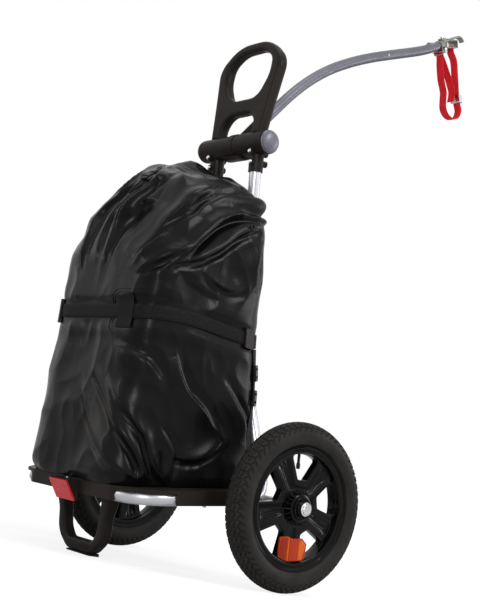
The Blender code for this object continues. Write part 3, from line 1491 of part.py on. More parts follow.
def hitch_bolt_hole():
    frame = bar_end_frame()
    start = frame @ Vector((HITCH_BOLT_U, 0, -BRACKET_WIDTH))
    end = frame @ Vector((HITCH_BOLT_U, 0, BRACKET_WIDTH))
    return rod("hitch_bolt_hole", HITCH_BOLT_RADIUS + GAP, start, end, None, tow_hinge, segments=16)


def bracket_outline():
    """Side view of the hitch bracket: an upper and a lower plate joined by a web at the front."""
    top = TONGUE_TOP + GAP + BRACKET_WALL
    bottom = TONGUE_BOTTOM - GAP - BRACKET_WALL
    inside_front = BRACKET_END - BRACKET_WALL
    return rounded(
        (
            (BRACKET_START, top, 0),
            (BRACKET_END, top, BRACKET_CORNER),
            (BRACKET_END, bottom, BRACKET_CORNER),
            (BRACKET_START, bottom, 0),
            (BRACKET_START, TONGUE_BOTTOM - GAP, 0),
            (inside_front, TONGUE_BOTTOM - GAP, BRACKET_INNER_CORNER),
            (inside_front, TONGUE_TOP + GAP, BRACKET_INNER_CORNER),
            (BRACKET_START, TONGUE_TOP + GAP, 0),
        )
    )


def upright_in_hitch():
    """Takes an outline drawn as (along the bar, up) to the hitch frame, extruded across the bar."""
    return bar_end_frame() @ Matrix.Rotation(math.pi / 2, 4, "X")


def make_hitch():
    """Bracket that swings on the hitch bolt, the hook on top of it and the rubber bumper in front."""
    frame = bar_end_frame()
    stand = upright_in_hitch()
    width = BRACKET_WIDTH
    bracket = plate("hitch_bracket", bracket_outline(), width, "dark_steel", tow_hinge, matrix=stand)
    cut(bracket, hitch_bolt_hole())
    half_slot = STRAP_SLOT_WIDTH / 2
    slot_width = STRAP_WIDTH / 2 + STRAP_SIDE_PLAY
    slot = box(
        "strap_slot",
        (STRAP_SLOT_U - half_slot, -slot_width, -2 * OVERCUT),
        (STRAP_SLOT_U + half_slot, slot_width, 0.0),
        None,
        tow_hinge,
    )
    cut(bracket, in_hitch_frame(slot))

    strip = TONGUE_TOP + 2 * GAP + BRACKET_WALL
    middle = strip + HOOK_THICKNESS / 2
    route = smooth_route([(u, middle + n) for u, n in HOOK_ROUTE], 2)
    outline = ribbon_outline(route, HOOK_THICKNESS)
    hook = plate("hook", outline, HOOK_WIDTH, "dark_steel", tow_hinge, matrix=stand)
    cut(hook, hitch_bolt_hole())

    head_seat = strip + HOOK_THICKNESS + GAP
    nut_seat = TONGUE_BOTTOM - 2 * GAP - BRACKET_WALL
    bolt_profile = (
        (head_seat + HITCH_BOLT_HEAD, 0.0),
        (head_seat + HITCH_BOLT_HEAD, HITCH_BOLT_HEAD_RADIUS - MOULDED_EDGE),
        (head_seat + HITCH_BOLT_HEAD - MOULDED_EDGE, HITCH_BOLT_HEAD_RADIUS),
        (head_seat, HITCH_BOLT_HEAD_RADIUS),
        (head_seat, HITCH_BOLT_RADIUS),
        (nut_seat - HITCH_NUT_HEIGHT - HITCH_BOLT_TAIL, HITCH_BOLT_RADIUS),
        (nut_seat - HITCH_NUT_HEIGHT - HITCH_BOLT_TAIL, 0.0),
    )
    nut_bore = (HITCH_BOLT_RADIUS + GAP) / math.cos(math.pi / 6)
    nut_profile = (
        (nut_seat, HITCH_NUT_RADIUS),
        (nut_seat - HITCH_NUT_HEIGHT, HITCH_NUT_RADIUS),
        (nut_seat - HITCH_NUT_HEIGHT, nut_bore),
        (nut_seat, nut_bore),
    )
    at_bolt = frame @ Matrix.Translation((HITCH_BOLT_U, 0, 0))
    bolt = turned("hitch_bolt", bolt_profile, "steel", tow_hinge, axis="Z", steps=16)
    bolt.data.transform(at_bolt)
    nut = turned("hitch_nut", nut_profile, "steel", tow_hinge, axis="Z", steps=6)
    nut.data.transform(at_bolt)
    bumper_profile = (
        (BRACKET_END + GAP + BUMPER_LENGTH, 0.0),
        (BRACKET_END + GAP + BUMPER_LENGTH, BUMPER_RADIUS - MOULDED_EDGE),
        (BRACKET_END + GAP + BUMPER_LENGTH - MOULDED_EDGE, BUMPER_RADIUS),
        (BRACKET_END + GAP, BUMPER_RADIUS),
        (BRACKET_END + GAP, 0.0),
    )
    bumper = turned("hook_bumper", bumper_profile, "rubber", tow_hinge, steps=12)
    bumper.data.transform(frame @ Matrix.Translation((0, 0, BUMPER_N)))


def ribbon_outline(route, thickness):
    """Closed outline of a strip of even thickness along a flat route."""
    left, right = [], []
    for index, here in enumerate(route):
        before = route[max(index - 1, 0)]
        after = route[min(index + 1, len(route) - 1)]
        along = (Vector(after) - Vector(before)).normalized()
        across = Vector((-along.y, along.x)) * thickness / 2
        left.append(Vector(here) + across)
        right.append(Vector(here) - across)
    return [*left, *reversed(right)]


def make_strap():
    """Red safety strap, its loose tail, and the cam buckle that closes the loop."""
    sideways = Matrix.Translation(on_hinge(0, 0)) @ face_on()
    loop, tail = (ribbon_outline(smooth_route(route, 2), STRAP_THICKNESS) for route in (STRAP_ROUTE, STRAP_TAIL))
    strap = plate("safety_strap", loop, STRAP_WIDTH, "red_webbing", tow_hinge, matrix=sideways)
    unite(strap, plate("strap_tail", tail, STRAP_WIDTH, None, tow_hinge, matrix=sideways))

    half_length = STRAP_BUCKLE_LENGTH / 2
    half_width = STRAP_BUCKLE_HALF_WIDTH
    half_depth = STRAP_BUCKLE_DEPTH / 2
    turn = (STRAP_BUCKLE_ANGLE, 0, 0)
    centre = on_hinge(*STRAP_BUCKLE)
    buckle = box(
        "strap_buckle",
        (-half_width, -half_length, -half_depth),
        (half_width, half_length, half_depth),
        "steel",
        tow_hinge,
        location=centre,
        rotation=turn,
    )
    slot_width = STRAP_WIDTH / 2 + STRAP_SIDE_PLAY
    slot = box(
        "strap_buckle_slot",
        (-slot_width, -2 * half_length, -STRAP_BUCKLE_SLOT),
        (slot_width, 2 * half_length, STRAP_BUCKLE_SLOT),
        None,
        tow_hinge,
        location=centre,
        rotation=turn,
    )
    cut(buckle, slot)
    knuckle, tip = STRAP_LEVER_KNUCKLE, STRAP_LEVER_TIP
    clear = half_depth + knuckle + GAP
    pivot = Matrix.Rotation(STRAP_BUCKLE_ANGLE, 3, "X") @ Vector((0, half_length - STRAP_LEVER_INSET, -clear))
    lever_outline = (
        (knuckle, -knuckle, knuckle * ROUND_END_SHARE),
        (knuckle, knuckle, knuckle * ROUND_END_SHARE),
        (-STRAP_LEVER_LENGTH, tip, 0),
        (-STRAP_LEVER_LENGTH, -tip, 0),
    )
    plate(
        "strap_buckle_lever",
        rounded(lever_outline),
        2 * half_width - STRAP_LEVER_INSET,
        "steel",
        tow_hinge,
        matrix=face_on(),
        location=Vector(centre) + pivot,
        rotation=turn,
    )


def section_point(row, angle):
    """Point of one cross-section, a rounded rectangle with the given squareness."""
    _, middle, half_width, front, rear, squareness = row
    power = 2 / squareness
    cosine, sine = math.cos(angle), math.sin(angle)
    x = middle + half_width * math.copysign(abs(cosine) ** power, cosine)
    y = (front + rear) / 2 + (front - rear) / 2 * math.copysign(abs(sine) ** power, sine)
    return (x, y)


def make_bag():
    """Soft bag as a plain closed loft through its cross-sections."""
    work = bmesh.new()
    rings = []
    for row in BAG_SECTIONS:
        angles = [2 * math.pi * index / BAG_SIDES for index in range(BAG_SIDES)]
        rings.append([work.verts.new((*section_point(row, angle), row[0])) for angle in angles])
    for low, high in zip(rings, rings[1:]):
        for index in range(BAG_SIDES):
            after = (index + 1) % BAG_SIDES
            work.faces.new((low[index], low[after], high[after], high[index]))
    work.faces.new(list(reversed(rings[0])))
    work.faces.new(rings[-1])
    mesh = bpy.data.meshes.new("bag")
    work.to_mesh(mesh)
    work.free()
    soften(link("bag", mesh, "tarpaulin", trailer), 60)


def bag_spot(angle, height, grow=0.0):
    """Point of the bag's side at an angle round it and a height, a distance outside its surface."""
    rows = list(zip(BAG_SECTIONS, BAG_SECTIONS[1:]))
    low, high = next(pair for pair in rows if height <= pair[1][0] or pair == rows[-1])
    share = (height - low[0]) / (high[0] - low[0])
    spot = Vector(section_point(low, angle)).lerp(Vector(section_point(high, angle)), share)
    return (spot.x + grow * math.cos(angle), spot.y + grow * math.sin(angle), height)


def belt_height(angle):
    """Middle of the belt: level round the rear, falling towards the front."""
    y = bag_spot(angle, BELT_Z)[1]
    share = min(max((y - BELT_FALL_START) / (BELT_FALL_END - BELT_FALL_START), 0.0), 1.0)
    return BELT_Z - BELT_DROP * share * share * (3 - 2 * share)


def wrap(name, angles, height, inner, outer, look, parent, closed=False):
    """A band that hugs the bag along the belt's line, between two distances from its surface."""
    work = bmesh.new()
    rings = []
    for angle in angles:
        middle = belt_height(angle)
        low, high = middle - height / 2, middle + height / 2
        spots = ((low, inner), (low, outer), (high, outer), (high, inner))
        rings.append([work.verts.new(bag_spot(angle, z, grow)) for z, grow in spots])
    pairs = list(zip(rings, rings[1:]))
    if closed:
        pairs.append((rings[-1], rings[0]))
    for first, second in pairs:
        for index in range(4):
            after = (index + 1) % 4
            work.faces.new((first[index], first[after], second[after], second[index]))
    if not closed:
        work.faces.new(list(reversed(rings[0])))
        work.faces.new(rings[-1])
    bmesh.ops.recalc_face_normals(work, faces=work.faces)
    mesh = bpy.data.meshes.new(name)
    work.to_mesh(mesh)
    work.free()
    obj = link(name, mesh, look, parent)
    soften(obj, 50)
    return obj


def angles_between(start, end):
    """The bag's own corner angles inside the span, with the two ends of the span."""
    step = 2 * math.pi / BAG_SIDES
    inside = [index * step for index in range(-BAG_SIDES, BAG_SIDES) if start < index * step < end]
    return [start, *inside, end]


def make_belt():
    """Webbing belt round the bag, the keeper at its rear corner and a slider near each end."""
    step = 2 * math.pi / BAG_SIDES
    turn = [index * step for index in range(BAG_SIDES)]
    outside = BELT_GAP + BELT_THICKNESS
    wrap("bag_belt", turn, BELT_HEIGHT, BELT_GAP, outside, "black_webbing", trailer, closed=True)
    room = wrap("belt_room", turn, BELT_HEIGHT + 2 * GAP, -GAP, outside + GAP, None, trailer, closed=True)
    start, end = KEEPER_ANGLES
    angles = angles_between(start, end)
    wall = outside + GAP + KEEPER_WALL
    cut(wrap("belt_keeper", angles, KEEPER_HEIGHT, BELT_GAP, wall, "black_plastic", trailer), room)
    for label, (start, end, height) in SLIDERS.items():
        angles = angles_between(start, end)
        cut(wrap("belt_slider_" + label, angles, height, BELT_GAP, wall, "black_plastic", trailer), room)


def centre_on_floor():
    """Moves the trailer along Y until the origin is below the middle of its box."""
    bpy.context.view_layer.update()
    meshes = [piece for piece in parts.objects if piece.type == "MESH"]
    spots = [(piece.matrix_world @ vertex.co).y for piece in meshes for vertex in piece.data.vertices]
    trailer.location.y -= (min(spots) + max(spots)) / 2
    bpy.context.view_layer.update()


clear_scene()
parts = make_collection(MODEL_NAME)
cutters = make_collection("cutters")
cutters.hide_render = True
trailer = make_empty("trailer", (0, 0, WHEEL_RADIUS), (lean_back_angle(), 0, 0))
tow_hinge = make_empty("tow_hinge", (0, HEAD_Y, HEAD_Z), parent=trailer)

clamp_holes, tray_holes = make_frame()
make_foot(make_tray(tray_holes))
make_rear_reflector()
for wheel_side, wheel_sign in (("right", 1), ("left", -1)):
    make_wheel(wheel_side, wheel_sign)
    make_head_half(wheel_side, wheel_sign, clamp_holes)
make_pivot_shaft()
make_handle()
make_tow_hub()
make_bar_rivet(make_tow_bar())
make_hitch_plug()
make_hitch()
make_strap()
make_bag()
make_belt()
centre_on_floor()
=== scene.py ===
"""Looks of the two-wheeled cargo trailer: finishes, the soft bag, the tyres' tread and the smooth shells.

Units are metres. Pieces are drawn in the trailer's own frame: X to the right, Y forward and Z up from the
middle of the wheel axis, with the trailer upright. TRAILER takes them to the row frame, where it leans on
its foot.
"""

import json
import math

import bmesh
import bpy
import numpy as np
from mathutils import Matrix, Vector, noise


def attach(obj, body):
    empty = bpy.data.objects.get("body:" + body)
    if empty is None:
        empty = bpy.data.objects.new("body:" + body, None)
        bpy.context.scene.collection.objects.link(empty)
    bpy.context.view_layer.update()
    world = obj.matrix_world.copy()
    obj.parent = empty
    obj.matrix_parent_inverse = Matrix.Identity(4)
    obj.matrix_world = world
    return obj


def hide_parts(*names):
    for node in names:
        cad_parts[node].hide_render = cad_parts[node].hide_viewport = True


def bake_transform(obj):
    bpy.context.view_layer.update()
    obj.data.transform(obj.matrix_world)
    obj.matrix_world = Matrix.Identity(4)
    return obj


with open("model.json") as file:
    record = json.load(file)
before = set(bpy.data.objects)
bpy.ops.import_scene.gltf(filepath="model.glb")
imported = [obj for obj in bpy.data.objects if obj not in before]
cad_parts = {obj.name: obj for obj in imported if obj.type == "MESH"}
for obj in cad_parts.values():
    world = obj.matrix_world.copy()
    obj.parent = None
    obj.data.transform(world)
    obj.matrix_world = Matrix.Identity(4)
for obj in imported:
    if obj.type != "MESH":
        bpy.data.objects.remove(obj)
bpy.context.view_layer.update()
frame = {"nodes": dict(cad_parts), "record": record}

# Attitude
WHEEL_RADIUS = 0.152
PARKED_LEAN = math.radians(7.5386)
TOWING_TILT = math.radians(6.5)
WHEEL_AXIS = (0, -0.10961, WHEEL_RADIUS)
TRAILER = Matrix.Translation(WHEEL_AXIS) @ Matrix.Rotation(PARKED_LEAN, 4, "X")

MERGE_DISTANCE = 0.000001
# No tube runs in this direction
SWEEP_DIRECTION = (0.31, 0.52, 0.80)
# Turns what is drawn in the XY plane to face +X
FACE_ON = Matrix(((0, 0, 1, 0), (1, 0, 0, 0), (0, 1, 0, 0), (0, 0, 0, 1)))
# Strength of the world's light, where what the camera sees has 1
WORLD_LIGHT = 0.3
# Every finish by its name
LOOKS = {}

# Camera, placed from the middle of the wheel axis with the trailer level as it is towed
IMAGE_HEIGHT = 610
SENSOR = 36.0
FOCAL_PIXELS = 1132.66
CAMERA_SPOT = (1.7561, -1.3656, 0.3569)
CAMERA_AZIMUTH = 0.8774
CAMERA_PITCH = 0.0018

# Wheels
WHEEL_TRACK = 0.528
WHEEL_PLACES = {
    "right": Matrix.Translation((WHEEL_TRACK / 2, 0, 0)),
    "left": Matrix.Translation((-WHEEL_TRACK / 2, 0, 0)) @ Matrix.Rotation(math.pi, 4, "Z"),
}
TYRE_SECTION_RADIUS = 0.024
TYRE_WALL = 0.0035
TYRE_GAP = 0.0003
BEAD_WIDTH = 0.0042
# Ridges moulded round the tyre's wall: radius, width, height
WALL_RIDGES = ((0.1185, 0.0012, 0.0005), (0.133, 0.0008, 0.0003))
TREAD_PITCHES = 66
TREAD_STEPS = 14
TREAD_DEPTH = 0.0024
TREAD_REACH = math.radians(77)
SIPE_HALF_WIDTH = 0.0008
SIPE_WIDENING = 0.0009
SIPE_SWEEP = 1.15
SIPE_SWING = 0.20
RIM_HALF_WIDTH = 0.0155
RIM_FLANGE_WALL = 0.0024
RIM_FLANGE_RADIUS = 0.112
RIM_SEAT_RADIUS = 0.1015
RIM_WELL_RADIUS = 0.0992
RIM_INNER_RADIUS = 0.0965
WEB_HALF_WIDTH = 0.008
HUB_RADIUS = 0.025
HUB_HALF_WIDTH = 0.0235
HUB_BORE = 0.0093
SPOKE_COUNT = 5
FIRST_WINDOW_ANGLE = math.radians(10)
WINDOW_INNER_RADIUS = 0.050
WINDOW_OUTER_RADIUS = 0.095
WINDOW_INNER_HALF_ANGLE = math.radians(12)
WINDOW_OUTER_HALF_ANGLE = math.radians(20)
WINDOW_CORNER = 0.005
POCKET_INNER_RADIUS = 0.036
POCKET_OUTER_RADIUS = 0.092
POCKET_INNER_HALF_WIDTH = 0.0055
POCKET_OUTER_HALF_WIDTH = 0.0125
POCKET_DEPTH = 0.0055

# Spoke reflector, in millimetres: name, finish, outline (y, z) from the wheel's middle, and thickness
REFLECTOR_OUTLINE = (
    (-38.5, -50), (-19, -49.5), (-9, -54), (3, -54), (15, -54), (27, -64), (23.5, -89), (17, -93.5),
    (-19, -93.5), (-40, -85),
)
REFLECTOR_PANELS = (
    ("body", "amber_lens", REFLECTOR_OUTLINE, 3.6),
    # The left panel's darker amber is painted shade; the bar's and right panel's brighter amber is a painted
    # highlight
    ("left_panel", "amber_painted_shade", ((-36, -53), (-20.5, -52.5), (-21.5, -90), (-37.5, -84)), 4.1),
    ("bar", "amber_painted_highlight", ((-18.5, -52), (-16, -52.5), (-17, -91.5), (-19.5, -91.5)), 4.5),
    ("middle_panel", "amber_lens", ((-13.5, -54.5), (6, -56.2), (4, -91.5), (-15, -91.5)), 4.1),
    (
        "right_panel",
        "amber_painted_highlight",
        ((8.5, -56.5), (14.5, -57.5), (24, -65.5), (16.5, -91.5), (6.5, -91.5)),
        4.1,
    ),
)
REFLECTOR_BACK = WEB_HALF_WIDTH + 0.0003

# Safety strap in the plane X = 0. Its last stretch runs from above the buckle to the bracket.
STRAP_WIDTH = 0.020
STRAP_THICKNESS = 0.0018
STRAP_LOOP = (
    (0.581, 1.0279), (0.5885, 1.0299), (0.5938, 1.0285), (0.5968, 1.019), (0.599, 1), (0.6063, 0.969),
    (0.6176, 0.9429), (0.6187, 0.9237), (0.6205, 0.9044), (0.631, 0.8905), (0.649, 0.8845),
    (0.6667, 0.8897), (0.6752, 0.9081), (0.6685, 0.926), (0.6622, 0.9461), (0.6556, 0.9812),
)
STRAP_REACH = (*STRAP_LOOP[-2:], (0.6466, 1.023), (0.634, 1.04), (0.6306, 1.05), (0.6293, 1.0551))
STRAP_TAIL = (
    (0.5935, 1.0287), (0.602, 1.019), (0.6219, 0.9923), (0.6397, 0.9651), (0.648, 0.9478), (0.646, 0.9252),
)

# Frame tube: corners (x, y, z, bend radius) of its right half
TUBE_RADIUS = 0.01175
UPRIGHT_X = 0.062
UPRIGHT_Y = 0.0105
LOOP_X = 0.1918
LOOP_Z = 0.0034
LOOP_REAR_Y = -0.2912
FLARE_FOOT_X = 0.1697
FRAME_CORNERS = (
    (UPRIGHT_X, UPRIGHT_Y, 0.672, 0), (UPRIGHT_X, UPRIGHT_Y, 0.287, 0.07),
    (FLARE_FOOT_X, UPRIGHT_Y, LOOP_Z, 0.045), (LOOP_X, -0.09, LOOP_Z, 0.1),
    (LOOP_X, LOOP_REAR_Y, LOOP_Z, 0.0614), (0, LOOP_REAR_Y, LOOP_Z, 0),
)
AXLE_BEAM_RADIUS = 0.010
AXLE_SOCKET_RADIUS = 0.011
AXLE_SOCKET_END = 0.239
AXLE_SOCKET_DEPTH = 0.012
AXLE_SOCKET_BORE = 0.0065

# Tray and foot
TRAY_PLATE_BOTTOM = 0.01545
FOOT_REAR_Y = -0.276
FOOT_DEPTH = 0.022
FOOT_OUTLINE = (
    (0.0885, -0.022, 0.02), (0.0775, -0.045, 0.03), (0.0745, -0.087, 0.045), (0.04, -0.114, 0.03),
)
FOOT_INNER = ((0.0595, -0.03, 0.03), (0.0535, -0.0745, 0.024), (0.0395, -0.0925, 0.015))
FOOT_INNER_TOP_X = 0.0605

# Hinge, handle and tow bar
HEAD_Y = 0.0092
HEAD_Z = 0.6838
HANDLE_LEAN = math.radians(8.8)
HANDLE_BASE_Z = 0.705
HANDLE_THICKNESS = 0.024
HANDLE_ROUNDING = 0.0085
HANDLE_FOOT = 0.0085
# Right halves of the handle's outlines: (x, height up its plane, corner radius)
HANDLE_OUTER = (
    (0.0782, HANDLE_FOOT - 0.012, 0), (0.0785, 0, 0.2), (0.0865, 0.07, 0.25), (0.0985, 0.156, 0.045),
    (0.048, 0.2013, 0.085), (0, 0.2013, 0),
)
HANDLE_ARCH = ((0.048, HANDLE_FOOT - 0.012, 0), (0.048, 0.045, 0.03), (0, 0.045, 0))
HANDLE_OPENING = (
    (0, 0.078, 0), (0.042, 0.078, 0.035), (0.066, 0.123, 0.055), (0.065, 0.159, 0.028),
    (0.036, 0.1812, 0.06), (0, 0.1812, 0),
)
BAR_RADIUS = 0.011
BAR_START = 0.030
BAR_STRAIGHT_END = 0.094
BAR_ANGLE = math.radians(47.2)
BAR_ROUTE = (
    (0.1381, 0.8199), (0.1903, 0.8651), (0.2454, 0.9026), (0.3043, 0.9334), (0.3647, 0.9595),
    (0.4275, 0.9827), (0.5258, 1.018), (0.585, 1.0446),
)

# Bag: (height, middle x, half width, front y, rear y, squareness)
BAG_SECTIONS = (
    (0.02, 0, 0.158, -0.012, -0.309, 6),
    (0.036, 0, 0.164, -0.007, -0.317, 6),
    (0.09, 0, 0.163, -0.005, -0.3115, 6),
    (0.17, 0, 0.1625, -0.005, -0.3015, 6),
    (0.27, 0, 0.161, -0.005, -0.2905, 6),
    (0.349, 0, 0.159, -0.005, -0.285, 6),
    (0.43, 0, 0.1605, -0.005, -0.273, 6),
    (0.495, 0, 0.156, -0.005, -0.239, 6),
    (0.545, 0, 0.147, -0.005, -0.2095, 5),
    (0.58, -0.004, 0.112, -0.008, -0.196, 4),
    (0.602, -0.025, 0.078, -0.02, -0.178, 3),
    (0.618, -0.04, 0.04, -0.05, -0.135, 2.5),
)
SECTION_SAMPLES = 400
SECTION_SOFTENING = 9
BAG_ROWS = 300
BAG_COLUMNS = 480
FACING_SIDE_LIMIT = -40
BAG_FRONT_LIMIT = -0.0020
BAG_FLOOR = 0.0198
BAG_AXIS_Y = -0.150
BELT_Z = 0.3205
BELT_DROP = 0.030
BELT_HEIGHT = 0.025
BELT_THICKNESS = 0.0016
BELT_BULGE = 0.0015
BELT_PINCH = 0.001
BELT_FALL_START = -0.240
BELT_FALL_END = -0.005

# Folds of the bag: lift, width, side of the steep drop, and points (compass angle in degrees, height), all
# lengths in millimetres
FOLDS = (
    # Pleats of the upper right side
    (12, 11, -1, ((-36, 480), (-22, 514), (-13, 538), (1, 554), (33, 575))),
    (16.5, 12, -1, ((-29, 412), (-19, 442), (-10, 469), (5, 502), (23, 522), (40, 528))),
    (12.5, 11, -1, ((-27, 412), (-10, 429), (5, 452), (18, 481), (32, 503))),
    (8, 10, 1, ((-53, 408), (-44, 434), (-33, 465))),
    (8, 9, -1, ((-47, 395), (-36, 415), (-24, 438))),
    # Shoulder and gathers under the top
    (11, 20, -1, ((-96, 485), (-84, 512), (-66, 530), (-44, 532))),
    (10, 14, 1, ((-84, 574), (-108, 555), (-124, 519), (-116, 475), (-104, 427))),
    (8.5, 14, 1, ((-140, 590), (-146, 550), (-146, 517), (-132, 463), (-122, 410))),
    (15, 15, 1, ((-40, 588), (-68, 556), (-88, 514), (-92, 475), (-90, 420))),
    # Brow and notch of the right side
    (9, 14, 1, ((-4, 548), (12, 551), (28, 553), (44, 550), (56, 545))),
    (-13, 9, -1, ((14, 520), (24, 525), (34, 527), (44, 527), (58, 524))),
    # Panel above the belt
    (-6, 24, 1, ((-24, 392), (-14, 374), (-4, 362), (8, 356))),
    (5.5, 13, -1, ((-8, 405), (4, 386), (16, 378), (26, 384))),
    # Creases that meet in a V below the belt
    (9.5, 10, -1, ((-72, 205), (-57, 152), (-49, 120), (-41, 82), (-36, 51), (-37, 34))),
    (7, 12, -1, ((-84, 172), (-71, 119), (-57, 78), (-47, 53), (-39, 36))),
    (7.5, 10, -1, ((-53, 180), (-41, 128), (-36, 107), (-33, 78), (-29, 51), (-22, 30))),
    (5, 9, 1, ((-27, 118), (-19, 85), (-18, 62), (-21, 34))),
    # Right side, patch and front edge
    (7.5, 14, 1, ((-22, 250), (-19, 219), (-12, 186), (1, 156), (10, 130))),
    (6.5, 11, -1, ((-17, 74), (-8, 70), (0, 73), (9, 85), (17, 104))),
    (6, 14, 1, ((-56, 255), (-46, 244), (-37, 229), (-30, 205))),
    (6, 12, 1, ((17, 205), (26, 169), (32, 146), (35, 106))),
    (6, 12, 1, ((38, 480), (33, 430), (36, 380))),
)
# How far a fold reaches, its two sides as shares of its width, and its hollow and its mirror image as shares
# of its lift
FOLD_REACH = 0.09
STEEP_SIDE = 0.26
GENTLE_SIDE = 1.5
HOLLOW_SHARE = 0.55
FAR_SIDE_SHARE = 0.8
# Fine creases: depth, scale, stretch, seed
CRUMPLES = ((0.0028, 8.5, (1, 1, 0.55), 3.1), (0.0012, 21, (1, 1, 0.7), 8.7))
# Lumps of the gathered top: x, y, lift, radius
TOP_LUMPS = (
    (-0.085, -0.13, 0.016, 0.03), (-0.015, -0.085, 0.013, 0.032), (-0.045, -0.11, -0.007, 0.014),
    (0.06, -0.06, 0.007, 0.03), (-0.075, -0.05, 0.008, 0.028),
)
BAG_CAP_ROWS = 30
BAG_CROWN = 0.008
GATHER_CENTRE = (-0.045, -0.130)
GATHER_COUNT = 7
GATHER_LIFT = 0.0035

# Webbing and fittings on the bag: paths are (compass angle round the bag, height)
KEEPER_COMPASS = -54.2
KEEPER_WIDTH = 0.040
KEEPER_HALF_HEIGHT = 0.030
PATCH_COMPASS = KEEPER_COMPASS + 1.5
PATCH_HALF_TURN = 15.5
PATCH_HALF_HEIGHT = 0.039
PATCH_CORNER = 7.0
PATCH_LINE_WIDTH = 0.0016
STEPS_PER_METRE = 400
SIDE_STRAP = ((39, 0.276), (40, 0.23), (40, 0.18), (39, 0.12), (39, 0.05), (39, 0.024))
SIDE_STRAP_WIDTH = 0.018
BUCKLES = {"buckle_0": (39.5, 0.232), "buckle_1": (39.5, 0.187), "top_buckle": (-92, 0.585)}
BUCKLE_LIFT = 0.005
TOP_STRAP = ((-112, 0.545), (-96, 0.578), (-82, 0.597), (-66, 0.612))
TOP_STRAP_WIDTH = 0.016
EYELET = (28, 0.499)
EYELET_RADIUS = 0.0055


def tidied(mesh):
    """Welds a mesh's touching points and turns its faces outwards."""
    work = bmesh.new()
    work.from_mesh(mesh)
    bmesh.ops.remove_doubles(work, verts=work.verts, dist=MERGE_DISTANCE)
    bmesh.ops.recalc_face_normals(work, faces=work.faces)
    work.to_mesh(mesh)
    work.free()
    return mesh


def new_mesh(name, points, faces):
    """Mesh of points, stored in any nesting, and of faces that count them in order."""
    mesh = bpy.data.meshes.new(name)
    mesh.from_pydata([tuple(point) for point in np.reshape(points, (-1, 3))], [], faces)
    return tidied(mesh)


def joined(name, meshes):
    """One mesh that holds copies of the given ones, each with its place."""
    work = bmesh.new()
    for mesh, place in meshes:
        copy = mesh.copy()
        copy.transform(place)
        work.from_mesh(copy)
    made = bpy.data.meshes.new(name)
    work.to_mesh(made)
    work.free()
    return made


def unit(vectors):
    """The vectors along an array's last axis, each brought to length one."""
    return vectors / np.maximum(np.linalg.norm(vectors, axis=-1, keepdims=True), 1e-9)


def rounded(corners, closed=True, step=math.radians(6)):
    """Points of a path whose corners (x, y[, z], radius) are turned into arcs."""
    spots = [Vector(corner[:-1]) for corner in corners]
    made = []
    for index, corner in enumerate(corners):
        here, radius = spots[index], corner[-1]
        ends_here = not closed and index in (0, len(corners) - 1)
        before = (spots[index - 1] - here).normalized()
        after = (spots[(index + 1) % len(spots)] - here).normalized()
        turn = math.pi - before.angle(after)
        if radius == 0 or ends_here or turn < math.radians(1):
            made.append(tuple(here))
            continue
        reach = radius * math.tan(turn / 2)
        centre = here + (before + after).normalized() * (radius / math.cos(turn / 2))
        first = here + before * reach - centre
        last = here + after * reach - centre
        count = max(1, round(turn / step))
        for part in range(count + 1):
            share = part / count
            ahead = math.sin((1 - share) * turn) / math.sin(turn)
            behind = math.sin(share * turn) / math.sin(turn)
            made.append(tuple(centre + first * ahead + last * behind))
    return made


def mirrored(points):
    """A half outline or path, from the right-hand end inwards, followed by its mirror image."""
    return [*points, *((-point[0], *point[1:]) for point in reversed(points))]


def whole(half, step=math.radians(6)):
    """A symmetric path with rounded corners, from the corners of its right half up to the middle line."""
    return mirrored(rounded(half, closed=False, step=step)[:-1])


def polar(radius, angle):
    return (radius * math.cos(angle), radius * math.sin(angle))


def arc(radius, start, end, count):
    return [polar(radius, start + (end - start) * part / count) for part in range(count + 1)]


def circle(radius, count):
    return arc(radius, 0, 2 * math.pi, count)[:-1]


def box_outline(half_width, half_height, corner, middle=0.0):
    """The four corners of a rectangle, each with its radius."""
    signs = ((1, 1), (-1, 1), (-1, -1), (1, -1))
    return [(middle + x * half_width, y * half_height, corner) for x, y in signs]


def plate(name, loops, thickness, bevel=0.0, steps=3):
    """Mesh of a flat plate in the XY plane with rounded edges, from the loops of its edge and its holes."""
    curve = bpy.data.curves.new(name, "CURVE")
    curve.dimensions = "2D"
    curve.fill_mode = "BOTH"
    curve.extrude = thickness / 2 - bevel
    curve.bevel_depth = bevel
    curve.bevel_resolution = steps
    curve.offset = -bevel
    for loop in loops:
        spline = curve.splines.new("POLY")
        spline.points.add(len(loop) - 1)
        spline.use_cyclic_u = True
        for slot, point in zip(spline.points, loop):
            slot.co = (point[0], point[1], 0, 1)
    holder = bpy.data.objects.new(name, curve)
    bpy.context.scene.collection.objects.link(holder)
    bpy.context.view_layer.update()
    mesh = bpy.data.meshes.new_from_object(holder.evaluated_get(bpy.context.evaluated_depsgraph_get()))
    bpy.data.objects.remove(holder)
    return tidied(mesh)


def turned(name, profile, steps=96, closed=True):
    """Mesh turned about X from (distance, radius) points. An open profile starts and ends on the axis."""
    turn = np.arange(steps) * 2 * np.pi / steps
    x, radius = np.array(profile, float).T
    points = [np.tile(x, (steps, 1)), np.outer(np.cos(turn), radius), np.outer(np.sin(turn), radius)]
    return new_mesh(name, np.stack(points, -1), grid_faces(steps, len(profile), closed, True))


def swept(name, path, radius, steps=32):
    """Mesh of a round tube along a path, closed at both ends."""
    path = np.asarray(path, float)
    tangents = unit(np.gradient(path, axis=0))
    side = np.cross(tangents[0], SWEEP_DIRECTION)
    points = []
    for spot, tangent in zip(path, tangents):
        side = unit(side - tangent * np.dot(side, tangent))
        up = np.cross(tangent, side)
        points += [spot + right * side + high * up for right, high in circle(radius, steps)]
    faces = grid_faces(len(path), steps, wrap_columns=True)
    faces += [tuple(range(steps)), tuple(range(len(points) - steps, len(points)))]
    return new_mesh(name, points, faces)


